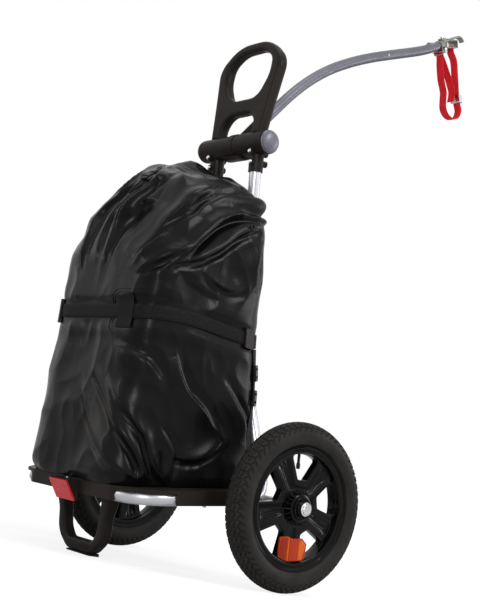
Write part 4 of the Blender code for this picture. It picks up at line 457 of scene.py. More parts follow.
def rod(name, radius, start, end, steps=32, edge=0.0008):
    """Mesh of a round bar between two points, with bevelled ends."""
    start, end = Vector(start), Vector(end)
    length = (end - start).length
    side = ((0, radius - edge), (edge, radius), (length - edge, radius), (length, radius - edge))
    mesh = turned(name, ((0, 0), *side, (length, 0)), steps, closed=False)
    mesh.transform(Matrix.Translation(start) @ (end - start).to_track_quat("X", "Z").to_matrix().to_4x4())
    return mesh


def add(name, mesh, look, body=None, place=Matrix(), smooth_angle=40, replaces=()):
    obj = bpy.data.objects.new(name, mesh)
    bpy.context.scene.collection.objects.link(obj)
    mesh.transform(place)
    mesh.transform(TRAILER)
    mesh.materials.clear()
    mesh.materials.append(LOOKS[look])
    mesh.shade_smooth()
    if smooth_angle:
        mesh.set_sharp_from_angle(angle=math.radians(smooth_angle))
    if body:
        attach(obj, body)
    if replaces:
        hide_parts(*replaces)
    return obj


def grid_faces(rows, columns, wrap_columns=False, wrap_rows=False):
    """Quads of a grid of points stored row by row."""
    faces = []
    for row in range(rows if wrap_rows else rows - 1):
        above = (row + 1) % rows
        for column in range(columns if wrap_columns else columns - 1):
            after = (column + 1) % columns
            corners = ((row, column), (row, after), (above, after), (above, column))
            faces.append(tuple(line * columns + place for line, place in corners))
    return faces


def smoothstep(value, low, high):
    share = np.clip((value - low) / (high - low), 0, 1)
    return share * share * (3 - 2 * share)


# Materials


def shader_node(tree, kind, sockets, **settings):
    """A new node with its settings, and with its sockets set to values or linked to other nodes' outputs."""
    made = tree.nodes.new("ShaderNode" + kind)
    for name, value in settings.items():
        setattr(made, name, value)
    for name, value in sockets.items():
        if isinstance(value, bpy.types.NodeSocket):
            tree.links.new(value, made.inputs[name])
        else:
            made.inputs[name].default_value = value
    return made


class Surface:
    """A Principled material, with its detail made by nodes on the object's own coordinates."""

    def __init__(self, name, colour, roughness, metallic=0.0, specular=0.5):
        material = bpy.data.materials.new(name)
        material.use_nodes = True
        LOOKS[name] = material
        self.tree = material.node_tree
        self.shader = self.tree.nodes["Principled BSDF"].inputs
        values = {"Base Color": (*colour, 1), "Roughness": roughness, "Metallic": metallic}
        for socket, value in {**values, "Specular IOR Level": specular}.items():
            self.shader[socket].default_value = value
        self.colour = colour
        self.spot = self.node("TexCoord", {}).outputs["Object"]
        self.normal = None

    def node(self, kind, sockets, **settings):
        return shader_node(self.tree, kind, sockets, **settings)

    def field(self, kind, output, sockets, **settings):
        return self.node("Tex" + kind, {"Vector": self.spot, **sockets}, **settings).outputs[output]

    def noise(self, scale, detail=4.0, roughness=0.5):
        return self.field("Noise", "Fac", {"Scale": scale, "Detail": detail, "Roughness": roughness})

    def cells(self, scale, randomness=1.0):
        return self.field("Voronoi", "Distance", {"Scale": scale, "Randomness": randomness})

    def waves(self, scale, direction):
        return self.field("Wave", "Fac", {"Scale": scale}, bands_direction=direction)

    def spread(self, field, low, high, start=0.0, end=1.0):
        """A field stretched from the values low and high to start and end."""
        sockets = {"Value": field, "From Min": low, "From Max": high, "To Min": start, "To Max": end}
        return self.node("MapRange", sockets).outputs["Result"]

    def bump(self, height, strength, distance):
        sockets = {"Height": height, "Strength": strength, "Distance": distance}
        if self.normal is not None:
            sockets["Normal"] = self.normal
        self.normal = self.node("Bump", sockets).outputs["Normal"]
        self.tree.links.new(self.normal, self.shader["Normal"])

    def vary_roughness(self, field, low, high):
        self.tree.links.new(self.spread(field, 0.3, 0.7, low, high), self.shader["Roughness"])

    def vary_colour(self, field, other, low=0.35, high=0.65):
        sockets = {"Factor": self.spread(field, low, high), "A": (*self.colour, 1), "B": (*other, 1)}
        mix = self.node("Mix", sockets, data_type="RGBA")
        self.tree.links.new(mix.outputs["Result"], self.shader["Base Color"])


def make_surfaces():
    look = Surface("tarpaulin", (0.0024, 0.0023, 0.0025), 0.28, specular=0.105)
    look.vary_colour(look.noise(6), (0.0036, 0.0035, 0.0038))
    look.vary_roughness(look.noise(14, 5), 0.23, 0.35)
    look.bump(look.waves(280, "Z"), 0.05, 0.0003)
    look.bump(look.waves(280, "X"), 0.05, 0.0003)
    look.bump(look.noise(55, 6, 0.6), 0.12, 0.002)

    look = Surface("black_webbing", (0.0062, 0.0057, 0.0055), 0.55, specular=0.05)
    look.vary_colour(look.noise(160, 3), (0.0095, 0.009, 0.009))
    look.bump(look.waves(190, "Z"), 0.25, 0.0004)
    look.bump(look.waves(150, "DIAGONAL"), 0.15, 0.0003)

    look = Surface("red_webbing", (0.52, 0.011, 0.019), 0.6, specular=0.12)
    look.vary_colour(look.noise(120, 3), (0.62, 0.015, 0.024))
    look.bump(look.waves(170, "X"), 0.25, 0.0004)
    look.bump(look.waves(200, "Z"), 0.2, 0.0004)

    look = Surface("tyre_rubber", (0.014, 0.013, 0.012), 0.52, specular=0.065)
    look.vary_colour(look.noise(40, 5), (0.0205, 0.019, 0.0176))
    look.bump(look.noise(900, 3), 0.25, 0.0004)

    look = Surface("rubber", (0.009, 0.0085, 0.008), 0.62, specular=0.08)
    look.vary_colour(look.noise(60), (0.018, 0.017, 0.016))
    look.bump(look.noise(700, 3), 0.25, 0.0004)

    look = Surface("wheel_plastic", (0.0024, 0.0023, 0.0023), 0.1, specular=0.12)
    look.vary_roughness(look.noise(30), 0.06, 0.12)
    look.bump(look.noise(40, 2), 0.02, 0.0015)

    look = Surface("black_plastic", (0.0125, 0.0101, 0.0087), 0.34, specular=0.065)
    look.vary_colour(look.noise(18), (0.0175, 0.0141, 0.0121))
    look.vary_roughness(look.noise(35), 0.3, 0.42)
    look.bump(look.cells(950), 0.2, 0.0003)

    look = Surface("silver", (0.42, 0.42, 0.445), 0.33, metallic=0.7)
    look.vary_colour(look.noise(25, 3), (0.46, 0.46, 0.485))
    look.vary_roughness(look.noise(30, 2), 0.28, 0.4)

    look = Surface("grey", (0.082, 0.082, 0.103), 0.42, metallic=0.3)
    look.vary_colour(look.noise(25, 3), (0.096, 0.096, 0.118))
    look.vary_roughness(look.noise(30, 2), 0.38, 0.48)

    look = Surface("steel", (0.7, 0.7, 0.72), 0.14, metallic=1.0)
    look.vary_roughness(look.noise(120), 0.1, 0.24)
    look.bump(look.noise(500, 3), 0.05, 0.0002)

    look = Surface("dark_steel", (0.2, 0.19, 0.175), 0.22, metallic=0.95)
    look.vary_colour(look.noise(90), (0.34, 0.33, 0.3))
    look.vary_roughness(look.noise(120), 0.18, 0.34)
    look.bump(look.noise(400), 0.12, 0.0003)

    look = Surface("button_grey", (0.085, 0.085, 0.108), 0.4, metallic=0.15)
    look.vary_colour(look.noise(70), (0.105, 0.105, 0.13))
    look.bump(look.cells(900), 0.15, 0.0003)

    # Moulded lenses, whose even cells are their prisms: colours, roughness, specular, cell scale, bump
    lenses = {
        "red_lens": ((0.42, 0.004, 0.008), (0.62, 0.02, 0.03), 0.14, 0.25, 260, 0.6, 0.0012),
        "amber_lens": ((0.27, 0.02, 0.004), (0.42, 0.04, 0.007), 0.16, 0.12, 240, 0.5, 0.001),
        # Darker copy of the amber lens: painted shade for the reflector's left panel
        "amber_painted_shade": ((0.17, 0.012, 0.002), (0.26, 0.022, 0.003), 0.18, 0.12, 240, 0.4, 0.001),
    }
    for name, (colour, other, roughness, specular, scale, strength, distance) in lenses.items():
        look = Surface(name, colour, roughness, specular=specular)
        look.vary_colour(look.cells(scale, 0.0), other, 0.2, 0.8)
        look.bump(look.cells(scale, 0.0), strength, distance)

    # Brighter copy of the amber lens: painted highlight for the reflector's bar and right panel
    look = Surface("amber_painted_highlight", (0.6, 0.115, 0.012), 0.18, specular=0.15)
    look.vary_colour(look.noise(300, 3), (0.5, 0.08, 0.01))


def finish_frame_nodes():
    """Gives each CAD node the finish that the record names, and smooth shading on its round stretches."""
    for part in frame["record"]["subparts"]:
        mesh = frame["nodes"][part["node"]].data
        mesh.materials.clear()
        mesh.materials.append(LOOKS[part["material_slot"]])
        mesh.shade_smooth()
        mesh.set_sharp_from_angle(angle=math.radians(35))


# Stage


def make_camera():
    data = bpy.data.cameras.new("camera")
    data.sensor_width = SENSOR
    data.lens = FOCAL_PIXELS * SENSOR / IMAGE_HEIGHT
    camera = bpy.data.objects.new("camera", data)
    tilt = Matrix.Rotation(PARKED_LEAN + TOWING_TILT, 4, "X")
    turn = Matrix.Rotation(CAMERA_AZIMUTH, 4, "Z") @ Matrix.Rotation(math.pi / 2 + CAMERA_PITCH, 4, "X")
    camera.matrix_world = Matrix.Translation(WHEEL_AXIS) @ tilt @ Matrix.Translation(CAMERA_SPOT) @ turn
    bpy.context.scene.collection.objects.link(camera)
    bpy.context.scene.camera = camera


def make_lamp(name, spot, aim, size, power, colour=(1, 1, 1)):
    data = bpy.data.lights.new(name, "AREA")
    data.shape = "RECTANGLE"
    data.size, data.size_y = size
    data.energy = power
    data.color = colour
    lamp = bpy.data.objects.new(name, data)
    lamp.location = spot
    lamp.rotation_euler = (Vector(aim) - Vector(spot)).to_track_quat("-Z", "Y").to_euler()
    bpy.context.scene.collection.objects.link(lamp)


def make_stage():
    """A white world that lights dimly, a pale floor that keeps the shadow near the object, and the lamps."""
    scene = bpy.context.scene
    scene.view_settings.view_transform = "Standard"
    scene.world = bpy.data.worlds.new("studio")
    scene.world.use_nodes = True
    tree = scene.world.node_tree
    background = tree.nodes["Background"].inputs
    background["Color"].default_value = (1, 1, 1, 1)
    path = shader_node(tree, "LightPath", {}).outputs
    seen = path["Is Camera Ray"]
    for other in ("Is Glossy Ray", "Is Transmission Ray"):
        seen = shader_node(tree, "Math", {0: seen, 1: path[other]}, operation="MAXIMUM").outputs[0]
    level = shader_node(tree, "MapRange", {"Value": seen, "To Min": WORLD_LIGHT, "To Max": 1.0})
    tree.links.new(level.outputs["Result"], background["Strength"])

    floor_mesh = new_mesh("floor", [(-20, -20, 0), (20, -20, 0), (20, 20, 0), (-20, 20, 0)], [(0, 1, 2, 3)])
    floor = bpy.data.objects.new("floor", floor_mesh)
    floor.location.z = -0.0005
    scene.collection.objects.link(floor)
    pale = bpy.data.materials.new("pale_floor")
    pale.use_nodes = True
    tree = pale.node_tree
    matt = tree.nodes["Principled BSDF"]
    matt.inputs["Base Color"].default_value = (0.82, 0.82, 0.82, 1)
    matt.inputs["Roughness"].default_value = 0.9
    glow = shader_node(tree, "Emission", {"Strength": 1.12})
    spot = shader_node(tree, "TexCoord", {}).outputs["Object"]
    away = shader_node(tree, "VectorMath", {0: spot}, operation="LENGTH").outputs["Value"]
    limits = {"Value": away, "From Min": 0.45, "From Max": 1.2, "To Min": 0.74, "To Max": 1.0}
    reach = shader_node(tree, "MapRange", limits, interpolation_type="SMOOTHSTEP").outputs["Result"]
    seen = shader_node(tree, "LightPath", {}).outputs["Is Camera Ray"]
    share = shader_node(tree, "Math", {0: seen, 1: reach}, operation="MULTIPLY").outputs[0]
    mix = shader_node(tree, "MixShader", {"Fac": share, 1: matt.outputs[0], 2: glow.outputs[0]})
    tree.links.new(mix.outputs[0], tree.nodes["Material Output"].inputs["Surface"])
    floor_mesh.materials.append(pale)

    make_lamp("key", (2.4, 0.4, 2.3), (0, -0.1, 0.5), (0.9, 1.1), 50, (0.97, 0.98, 1.0))
    make_lamp("side", (-1.5, -2.5, 1.15), (0, -0.1, 0.45), (0.6, 1.3), 12, (1.0, 0.94, 0.88))
    make_lamp("fill", (2.0, -2.2, 1.2), (0, -0.1, 0.35), (0.6, 1.1), 30, (0.96, 0.98, 1.0))
    make_lamp("front", (1.35, 2.45, 1.1), (0, -0.1, 0.35), (0.8, 1.4), 24, (0.97, 0.98, 1.0))
    make_lamp("top", (0.3, -0.6, 3.2), (0, 0, 0.5), (1.3, 1.3), 24)


# Bag


def bag_section(height):
    """The bag's cross-section values at a height, smoothed between the given sections."""
    heights, *columns = np.array(BAG_SECTIONS).T
    fine = np.linspace(heights[0], heights[-1], SECTION_SAMPLES)
    width = SECTION_SOFTENING
    kernel = np.hanning(2 * width + 1)
    kernel /= kernel.sum()
    made = []
    for column in columns:
        values = np.interp(fine, heights, column)
        before = 2 * values[0] - values[width:0:-1]
        after = 2 * values[-1] - values[-2 : -width - 2 : -1]
        smoothed = np.convolve(np.concatenate([before, values, after]), kernel, "valid")
        made.append(np.interp(height, fine, smoothed))
    return made


def even_loop(path, count):
    """Evenly spaced points of a closed flat path, whose last point is its first."""
    path = np.asarray(path)
    run = np.concatenate([[0], np.cumsum(np.hypot(*np.diff(path, axis=0).T))])
    even = np.linspace(0, run[-1], count, endpoint=False)
    return np.stack([np.interp(even, run, path[:, 0]), np.interp(even, run, path[:, 1])], -1)


def bag_ring(height, columns):
    """Evenly spaced points round the bag at a height, starting at the middle of its front."""
    middle, half_width, front, rear, squareness = bag_section(height)
    turn = np.linspace(0, 2 * np.pi, 4001) + np.pi / 2
    waves = (np.cos(turn), np.sin(turn))
    across, ahead = (np.sign(wave) * np.abs(wave) ** (2 / squareness) for wave in waves)
    path = np.stack([middle + half_width * across, (front + rear) / 2 + (front - rear) / 2 * ahead], -1)
    return np.insert(even_loop(path, columns), 2, height, axis=1)


def surface_normals(points):
    """Outward normals of a grid of points whose columns run round a closed shape, counted from above."""
    along = np.roll(points, -1, axis=1) - np.roll(points, 1, axis=1)
    return unit(np.cross(along, np.gradient(points, axis=0)))


def smooth_line(points, count):
    """A smooth curve through the points (Catmull-Rom), as count samples for each stretch."""
    points = np.asarray(points, float)
    ends = np.vstack([2 * points[0] - points[1], points, 2 * points[-1] - points[-2]])
    share = (np.arange(count) / count)[:, None]
    made = []
    for before, here, there, after in zip(ends, ends[1:], ends[2:], ends[3:]):
        square = 2 * before - 5 * here + 4 * there - after
        cube = 3 * here - before - 3 * there + after
        made.append((2 * here + (there - before) * share + square * share**2 + cube * share**3) / 2)
    return np.vstack([*made, points[-1]])


def bag_cell(base, compass, height):
    """Row and column of the bag's grid at a height and a compass angle, anticlockwise from the right."""
    row = int(np.argmin(abs(base[:, 0, 2] - height)))
    angles = np.degrees(np.arctan2(base[row, :, 1] - BAG_AXIS_Y, base[row, :, 0]))
    return row, int(np.argmin(np.abs((angles - compass + 180) % 360 - 180)))


def fold_lift(points, normals, lift, width, side, path):
    """Displacement of one fold: a ridge along its path with a steep drop and a hollow on one side."""
    line = smooth_line([points[bag_cell(points, compass, height)] for compass, height in path], 12)
    along = unit(np.gradient(line, axis=0))
    flat = points.reshape(-1, 3)
    reach = np.min([np.linalg.norm(flat - spot, axis=1) for spot in line[::6]], axis=0)
    near = np.where(reach < FOLD_REACH)[0]
    away = flat[near, None, :] - line[None, :, :]
    nearest = np.argmin((away**2).sum(-1), axis=1)
    offset = away[np.arange(len(near)), nearest]
    across = np.cross(normals.reshape(-1, 3)[near], along[nearest])
    signed = (offset * across).sum(-1) * side
    beyond = np.abs((offset * along[nearest]).sum(-1))
    share = nearest / (len(line) - 1)
    fade = np.clip(np.sin(np.pi * np.clip(share * 0.92 + 0.04, 0, 1)), 0, 1) ** 0.7
    fade *= np.exp(-((beyond / width) ** 2))
    ridge = np.exp(-((signed / np.where(signed > 0, width * STEEP_SIDE, width * GENTLE_SIDE)) ** 2))
    hollow = np.exp(-(((signed - width * 0.95) / (width * 0.55)) ** 2))
    result = np.zeros(len(flat))
    result[near] = lift * fade * (ridge - HOLLOW_SHARE * hollow)
    return result.reshape(points.shape[:2])


def belt_middle(y):
    return BELT_Z - BELT_DROP * smoothstep(y, BELT_FALL_START, BELT_FALL_END)


def crumple(points, scale, stretch, seed):
    """Ridged noise over the bag's surface."""
    flat = points.reshape(-1, 3) * np.array(stretch) * scale + seed
    values = np.array([noise.noise(Vector(spot)) for spot in flat])
    return (1 - 3.2 * np.abs(values)).reshape(points.shape[:2])


def bag_grid():
    """Rings of points from the bag's foot to its top, closed by rings that shrink over a low crown."""
    heights = np.linspace(BAG_SECTIONS[0][0], BAG_SECTIONS[-1][0], BAG_ROWS)
    sides = np.stack([bag_ring(height, BAG_COLUMNS) for height in heights])
    share = np.linspace(1, 0.02, BAG_CAP_ROWS + 1)[1:, None, None]
    centre = sides[-1].mean(axis=0)
    cap = centre + (sides[-1] - centre) * share
    cap[..., 2] += BAG_CROWN * (1 - share[..., 0] ** 2)
    return np.concatenate([sides, cap])


def top_lift(points):
    """Lumps and radiating pleats of the gathered top."""
    lift = np.zeros(points.shape[:2])
    for x, y, height, radius in TOP_LUMPS:
        away = np.hypot(points[..., 0] - x, points[..., 1] - y)
        lift += height * np.exp(-((away / radius) ** 2))
    x, y = points[..., 0] - GATHER_CENTRE[0], points[..., 1] - GATHER_CENTRE[1]
    along, away = np.arctan2(y, x), np.hypot(y, x)
    pleat = 1 - 2 * np.abs(np.sin(GATHER_COUNT * along + 1.6 * np.sin(3 * along + 0.7))) ** 0.8
    lift += GATHER_LIFT * pleat * smoothstep(away, 0.03, 0.07) * (1 - smoothstep(away, 0.11, 0.18))
    return lift * smoothstep(points[..., 2], 0.53, 0.59)


def make_bag():
    """Makes the stuffed bag, pinched by its belt. Returns the grids of its plain and its finished form."""
    base = bag_grid()
    normals = surface_normals(base)
    lift = top_lift(base)
    for height, width, side, path in FOLDS:
        height, width = height / 1000, width / 1000
        path = [(compass, level / 1000) for compass, level in path]
        lift += fold_lift(base, normals, height, width, side, path)
        if path[0][0] > FACING_SIDE_LIMIT:
            other_side = [(180 - compass, level) for compass, level in path]
            lift += FAR_SIDE_SHARE * fold_lift(base, normals, height, width, -side, other_side)
    for depth, scale, stretch, seed in CRUMPLES:
        lift += depth * crumple(base, scale, stretch, seed)
    offset = np.abs(base[..., 2] - belt_middle(base[..., 1]))
    under_belt = 1 - smoothstep(offset, BELT_HEIGHT * 0.5, BELT_HEIGHT * 1.1)
    bulge = np.exp(-(((offset - BELT_HEIGHT * 1.3) / 0.016) ** 2)) * BELT_BULGE
    lift = (lift + bulge) * (1 - under_belt) - BELT_PINCH * under_belt
    shape = base + normals * lift[..., None]
    shape[..., 1] = np.minimum(shape[..., 1], BAG_FRONT_LIMIT)
    shape[..., 2] = np.maximum(shape[..., 2], BAG_FLOOR)
    rows, columns = shape.shape[:2]
    points = list(shape.reshape(-1, 3))
    faces = [tuple(reversed(face)) for face in grid_faces(rows, columns, wrap_columns=True)]
    for row, flip in ((0, False), (rows - 1, True)):
        centre = len(points)
        points.append(shape[row].mean(axis=0))
        ring = [(row * columns + column, row * columns + (column + 1) % columns) for column in range(columns)]
        faces += [(b, a, centre) if flip else (a, b, centre) for a, b in ring]
    mesh = new_mesh("bag_shell", points, faces)
    bag = add("bag_shell", mesh, "tarpaulin", "trailer", smooth_angle=0, replaces=["bag"])
    return base, shape


def ribbon(name, line, normals, width, thickness, lift, edge=0.0003, closed=False):
    """Mesh of a flat strip along a line of points, lifted off the surface whose normals are given."""
    if closed:
        along = unit(np.roll(line, -1, axis=0) - np.roll(line, 1, axis=0))
    else:
        along = unit(np.gradient(line, axis=0))
    normals = unit(normals - along * (normals * along).sum(-1, keepdims=True))
    across = np.cross(along, normals)
    half = width / 2
    section = mirrored([(-half, 0), (-half, thickness - edge), (edge - half, thickness)])
    grid = np.stack([line + across * aside + normals * (lift + up) for aside, up in section], axis=1)
    count, size = len(line) * len(section), len(section)
    faces = grid_faces(len(line), size, wrap_columns=True, wrap_rows=closed)
    if not closed:
        faces += [tuple(range(size)), tuple(range(count - size, count))]
    return new_mesh(name, grid, faces)


def settled(values):
    """A closed run of points with the grid's small steps averaged out."""
    for _ in range(2):
        values = (np.roll(values, 1, axis=0) + 2 * values + np.roll(values, -1, axis=0)) / 4
    return values


def make_belt(base):
    """Webbing belt as one smooth band that hugs the bag."""
    heights = base[:BAG_ROWS, 0, 2]
    level = int(np.argmin(abs(heights - BELT_Z)))
    middles = belt_middle(base[level, :, 1])
    normals = surface_normals(base)
    half, top, edge = BELT_HEIGHT / 2, BELT_THICKNESS, 0.0004
    section = mirrored([(-half, 0), (-half, top - edge), (edge - half, top), (-half / 2, top)])
    section.insert(4, (0, top))
    columns = np.arange(base.shape[1])
    rings = []
    for drop, lift in section:
        spot = np.interp(middles + drop, heights, np.arange(BAG_ROWS))
        low = np.floor(spot).astype(int)
        share = (spot - low)[:, None]
        point = base[low, columns] * (1 - share) + base[low + 1, columns] * share
        rings.append(point + normals[low, columns] * lift)
    grid = np.stack(rings, axis=1)
    grid[..., 1] = np.minimum(grid[..., 1], BAG_FRONT_LIMIT + BELT_THICKNESS)
    mesh = new_mesh("belt_band", grid, grid_faces(*grid.shape[:2], wrap_columns=True, wrap_rows=True))
    add("belt_band", mesh, "black_webbing", "trailer", smooth_angle=50, replaces=["bag_belt"])


def make_bag_fittings(base, shape):
    """Keeper and welded patch of the belt, straps with their buckles, and the eyelet."""
    normals = surface_normals(shape)

    def find(compass, height):
        cell = bag_cell(base, compass, height)
        return shape[cell], normals[cell]

    def lay(name, path, width, thickness, lift, look="black_webbing", replaces=(), closed=False):
        spots, ups = (np.array(values) for values in zip(*(find(*place) for place in path)))
        if closed:
            mesh = ribbon(name, settled(spots), settled(ups), width, thickness, lift, 0, True)
        else:
            mesh = ribbon(name, smooth_line(spots, 8), smooth_line(ups, 8), width, thickness, lift)
        add(name, mesh, look, "trailer", replaces=replaces)

    path = [(KEEPER_COMPASS, BELT_Z + KEEPER_HALF_HEIGHT * share) for share in (-1, -0.5, 0, 0.5, 1)]
    lay("belt_keeper_plate", path, KEEPER_WIDTH, 0.0016, 0.0018, replaces=["belt_keeper"])
    for label, size in (("outer", 1.0), ("inner", 0.86)):
        # Drawn with one degree round the bag as long as one step of height
        half_turn, half_height = PATCH_HALF_TURN * size, PATCH_HALF_HEIGHT * size * STEPS_PER_METRE
        loop = rounded(box_outline(half_turn, half_height, PATCH_CORNER), step=math.radians(12))
        path = even_loop([*loop, loop[0]], 96)
        path = [(PATCH_COMPASS + compass, BELT_Z + step / STEPS_PER_METRE) for compass, step in path]
        lay("patch_seam_" + label, path, PATCH_LINE_WIDTH, 0.0007, 0.0002, "tarpaulin", closed=True)
    lay("side_strap", SIDE_STRAP, SIDE_STRAP_WIDTH, 0.0016, 0.001)
    lay("top_strap", TOP_STRAP, TOP_STRAP_WIDTH, 0.0018, 0.0012)
    slots = [box_outline(0.0018, 0.0085, 0.001, x) for x in (-0.0075, 0.0075)]
    loops = [rounded(loop, step=math.radians(20)) for loop in (box_outline(0.015, 0.011, 0.003), *slots)]
    buckle = plate("ladder_lock", loops, 0.0042, 0.0012)
    for name, (compass, height) in BUCKLES.items():
        spot, up = find(compass, height)
        along = unit(find(compass, height + 0.02)[0] - spot)
        along = unit(along - up * np.dot(along, up))
        turn = Matrix((along, np.cross(up, along), up)).transposed().to_4x4()
        place = Matrix.Translation(Vector(spot + up * BUCKLE_LIFT)) @ turn
        add(name, buckle.copy(), "black_plastic", "trailer", place)
    spot, up = find(*EYELET)
    ring = turned("eyelet", [(0.0014 + 0.0012 * x, EYELET_RADIUS + 0.0016 * y) for x, y in circle(1, 12)], 32)
    place = Matrix.Translation(Vector(spot)) @ Vector(up).to_track_quat("X", "Z").to_matrix().to_4x4()
    add("eyelet", ring, "rubber", "trailer", place, 60)


# Wheels


def add_to_wheel(label, mesh, look, side, smooth_angle, node=None):
    """Adds a piece that is drawn about the middle of the right wheel, to the wheel on the given side."""
    replaces = [node + "_" + side] if node else ()
    add(label + "_" + side, mesh, look, side + "_wheel", WHEEL_PLACES[side], smooth_angle, replaces)


def tread_depth(lean, pitch_share):
    """Depth of the grooves at an angle round the tyre's section from its crown and a share of one pitch."""
    reach = np.abs(lean) / TREAD_REACH
    half_width = SIPE_HALF_WIDTH + SIPE_WIDENING * reach
    pitch = 2 * math.pi * WHEEL_RADIUS / TREAD_PITCHES
    centre = SIPE_SWEEP * reach + SIPE_SWING * np.sin(2.5 * np.pi * reach) + np.where(lean > 0, 0.0, 0.5)
    away = np.abs((pitch_share - centre + 0.5) % 1 - 0.5) * pitch
    groove = (1 - smoothstep(away, half_width, half_width * 1.8)) * smoothstep(reach, 0.08, 0.14)
    for place, swing in ((0.11, 0.035), (0.37, 0.055), (0.64, 0.050)):
        ring = place + swing * np.sin(2 * np.pi * (pitch_share - centre))
        away = np.abs(reach - ring) * TREAD_REACH * TYRE_SECTION_RADIUS
        groove = np.maximum(groove, 1 - smoothstep(away, SIPE_HALF_WIDTH, SIPE_HALF_WIDTH * 1.9))
    return groove * TREAD_DEPTH * (1 - smoothstep(reach, 0.86, 1.0))


def make_tyre(side):
    """Tyre with its tread and the fine ridges of its wall, open towards the rim."""
    middle = WHEEL_RADIUS - TYRE_SECTION_RADIUS
    flange = RIM_HALF_WIDTH - RIM_FLANGE_WALL - TYRE_GAP
    seat = RIM_SEAT_RADIUS + TYRE_GAP
    lip = RIM_FLANGE_RADIUS + 0.001
    start = math.asin((lip - middle) / TYRE_SECTION_RADIUS)
    edge = math.pi / 2 - TREAD_REACH
    wall = np.linspace(start, edge, 9, endpoint=False)
    crown = np.linspace(edge, math.pi - edge, 72, endpoint=False)
    outer = np.concatenate([wall, crown, np.linspace(math.pi - edge, math.pi - start, 10)])
    inwards = -np.stack([np.cos(outer), np.sin(outer)], -1)
    ring = (0, middle) - TYRE_SECTION_RADIUS * inwards
    ridge = sum(high * np.exp(-(((ring[:, 1] - place) / width) ** 2)) for place, width, high in WALL_RIDGES)
    around = TREAD_PITCHES * TREAD_STEPS
    count = np.arange(around)[:, None]
    move = tread_depth(math.pi / 2 - outer, count / TREAD_STEPS) - ridge
    hollow_radius = TYRE_SECTION_RADIUS - TYRE_WALL
    hollow = [polar(hollow_radius, angle) for angle in np.linspace(math.pi + 0.58, -0.58, 12)]
    inner = [(-flange, lip), (-flange, seat), (-flange + BEAD_WIDTH, seat)]
    inner += [(x, middle + high) for x, high in hollow]
    inner += [(flange - BEAD_WIDTH, seat), (flange, seat), (flange, lip)]
    section = np.concatenate([ring + inwards * move[..., None], np.tile(inner, (around, 1, 1))], axis=1)
    x, radius = section[..., 0], section[..., 1]
    turn = count * 2 * math.pi / around
    points = np.stack([x, radius * np.cos(turn), radius * np.sin(turn)], -1)
    mesh = new_mesh("tyre_tread", points, grid_faces(*x.shape, wrap_columns=True, wrap_rows=True))
    add_to_wheel("tyre_tread", mesh, "tyre_rubber", side, 50, "tyre")


def rim_profile():
    """The rim's section, from its inner edge over the flange to the well and back."""
    half, inner, top = RIM_HALF_WIDTH, RIM_INNER_RADIUS, RIM_FLANGE_RADIUS
    flange = half - RIM_FLANGE_WALL
    edge = 0.0007
    hook = [(half - 0.0025, inner), (half - 0.0008, inner + 0.0004), (half - 0.0002, inner + 0.0014)]
    hook += [(half - 0.0004, inner + 0.006), (half - 0.0016, inner + 0.0075), (half - 0.0016, top - 0.0052)]
    flange_top = [(half - 0.0002, top - 0.0036), (half, top - edge), (half - edge, top), (flange + edge, top)]
    seat = [(flange, top - edge), (flange, RIM_SEAT_RADIUS), (0.006, RIM_WELL_RADIUS)]
    return mirrored([*hook, *flange_top, *seat])


def window_outline(middle, grow=0.0):
    """One opening between two spokes: straight sides and an outer edge that follows the rim."""
    inner = WINDOW_INNER_HALF_ANGLE + grow / WINDOW_INNER_RADIUS
    outer = WINDOW_OUTER_HALF_ANGLE + grow / WINDOW_OUTER_RADIUS
    low, high = WINDOW_INNER_RADIUS - grow, WINDOW_OUTER_RADIUS + grow
    ends = [(low, inner), (low, -inner), (high, -outer), (high, outer)]
    corners = [(*polar(radius, middle + angle), WINDOW_CORNER) for radius, angle in ends]
    rim = [(*spot, 0) for spot in arc(high, middle - outer * 0.7, middle + outer * 0.7, 8)]
    return rounded([*corners[:3], *rim, corners[3]], step=math.radians(10))


def pocket_outline(middle):
    """Recess in a spoke's face, widening towards the rim, with an end that follows it."""
    cosine, sine = math.cos(middle), math.sin(middle)
    inner = (POCKET_INNER_RADIUS, POCKET_INNER_HALF_WIDTH, 0.004)
    outer = (POCKET_OUTER_RADIUS - 0.003, POCKET_OUTER_HALF_WIDTH, 0.005)
    other_side = [(radius, -width, corner) for radius, width, corner in (outer, inner)]
    corners = [inner, outer, (POCKET_OUTER_RADIUS, 0.0, 0.03), *other_side]
    corners = [(x * cosine - y * sine, x * sine + y * cosine, corner) for x, y, corner in corners]
    return rounded(corners, step=math.radians(10))


def pocket_bowl():
    """Hollow floor of a spoke's recess, with the spoke along Y and the face towards +X."""
    rows, columns = 40, 24
    reach = np.linspace(0, 1, rows)[:, None]
    across = np.linspace(-1, 1, columns)[None, :]
    radius = POCKET_INNER_RADIUS - 0.001 + (POCKET_OUTER_RADIUS - POCKET_INNER_RADIUS + 0.002) * reach
    half_width = POCKET_INNER_HALF_WIDTH + (POCKET_OUTER_HALF_WIDTH - POCKET_INNER_HALF_WIDTH) * reach + 0.001
    hollow = (1 - across**2) * (0.35 + 0.65 * np.sin(np.pi * np.clip(reach * 1.15, 0, 1)) ** 0.6)
    ridge = 0.0011 * np.exp(-((np.abs(across) - 0.62 + 0.25 * reach) ** 2) / 0.006)
    x = WEB_HALF_WIDTH - 0.0008 - (POCKET_DEPTH - 0.0014) * hollow + ridge
    top = np.stack(np.broadcast_arrays(x, radius, across * half_width), -1)
    under = top.copy()
    under[..., 0] = WEB_HALF_WIDTH - POCKET_DEPTH - 0.0004
    count = rows * columns
    places = np.arange(count).reshape(rows, columns)
    rim = np.concatenate([places[0], places[1:, -1], places[-1, -2::-1], places[-2:0:-1, 0]]).tolist()
    faces = grid_faces(rows, columns)
    faces += [tuple(count + spot for spot in reversed(face)) for face in faces]
    faces += [(here, there, count + there, count + here) for here, there in zip(rim, [*rim[1:], rim[0]])]
    return new_mesh("bowl", [top, under], faces)


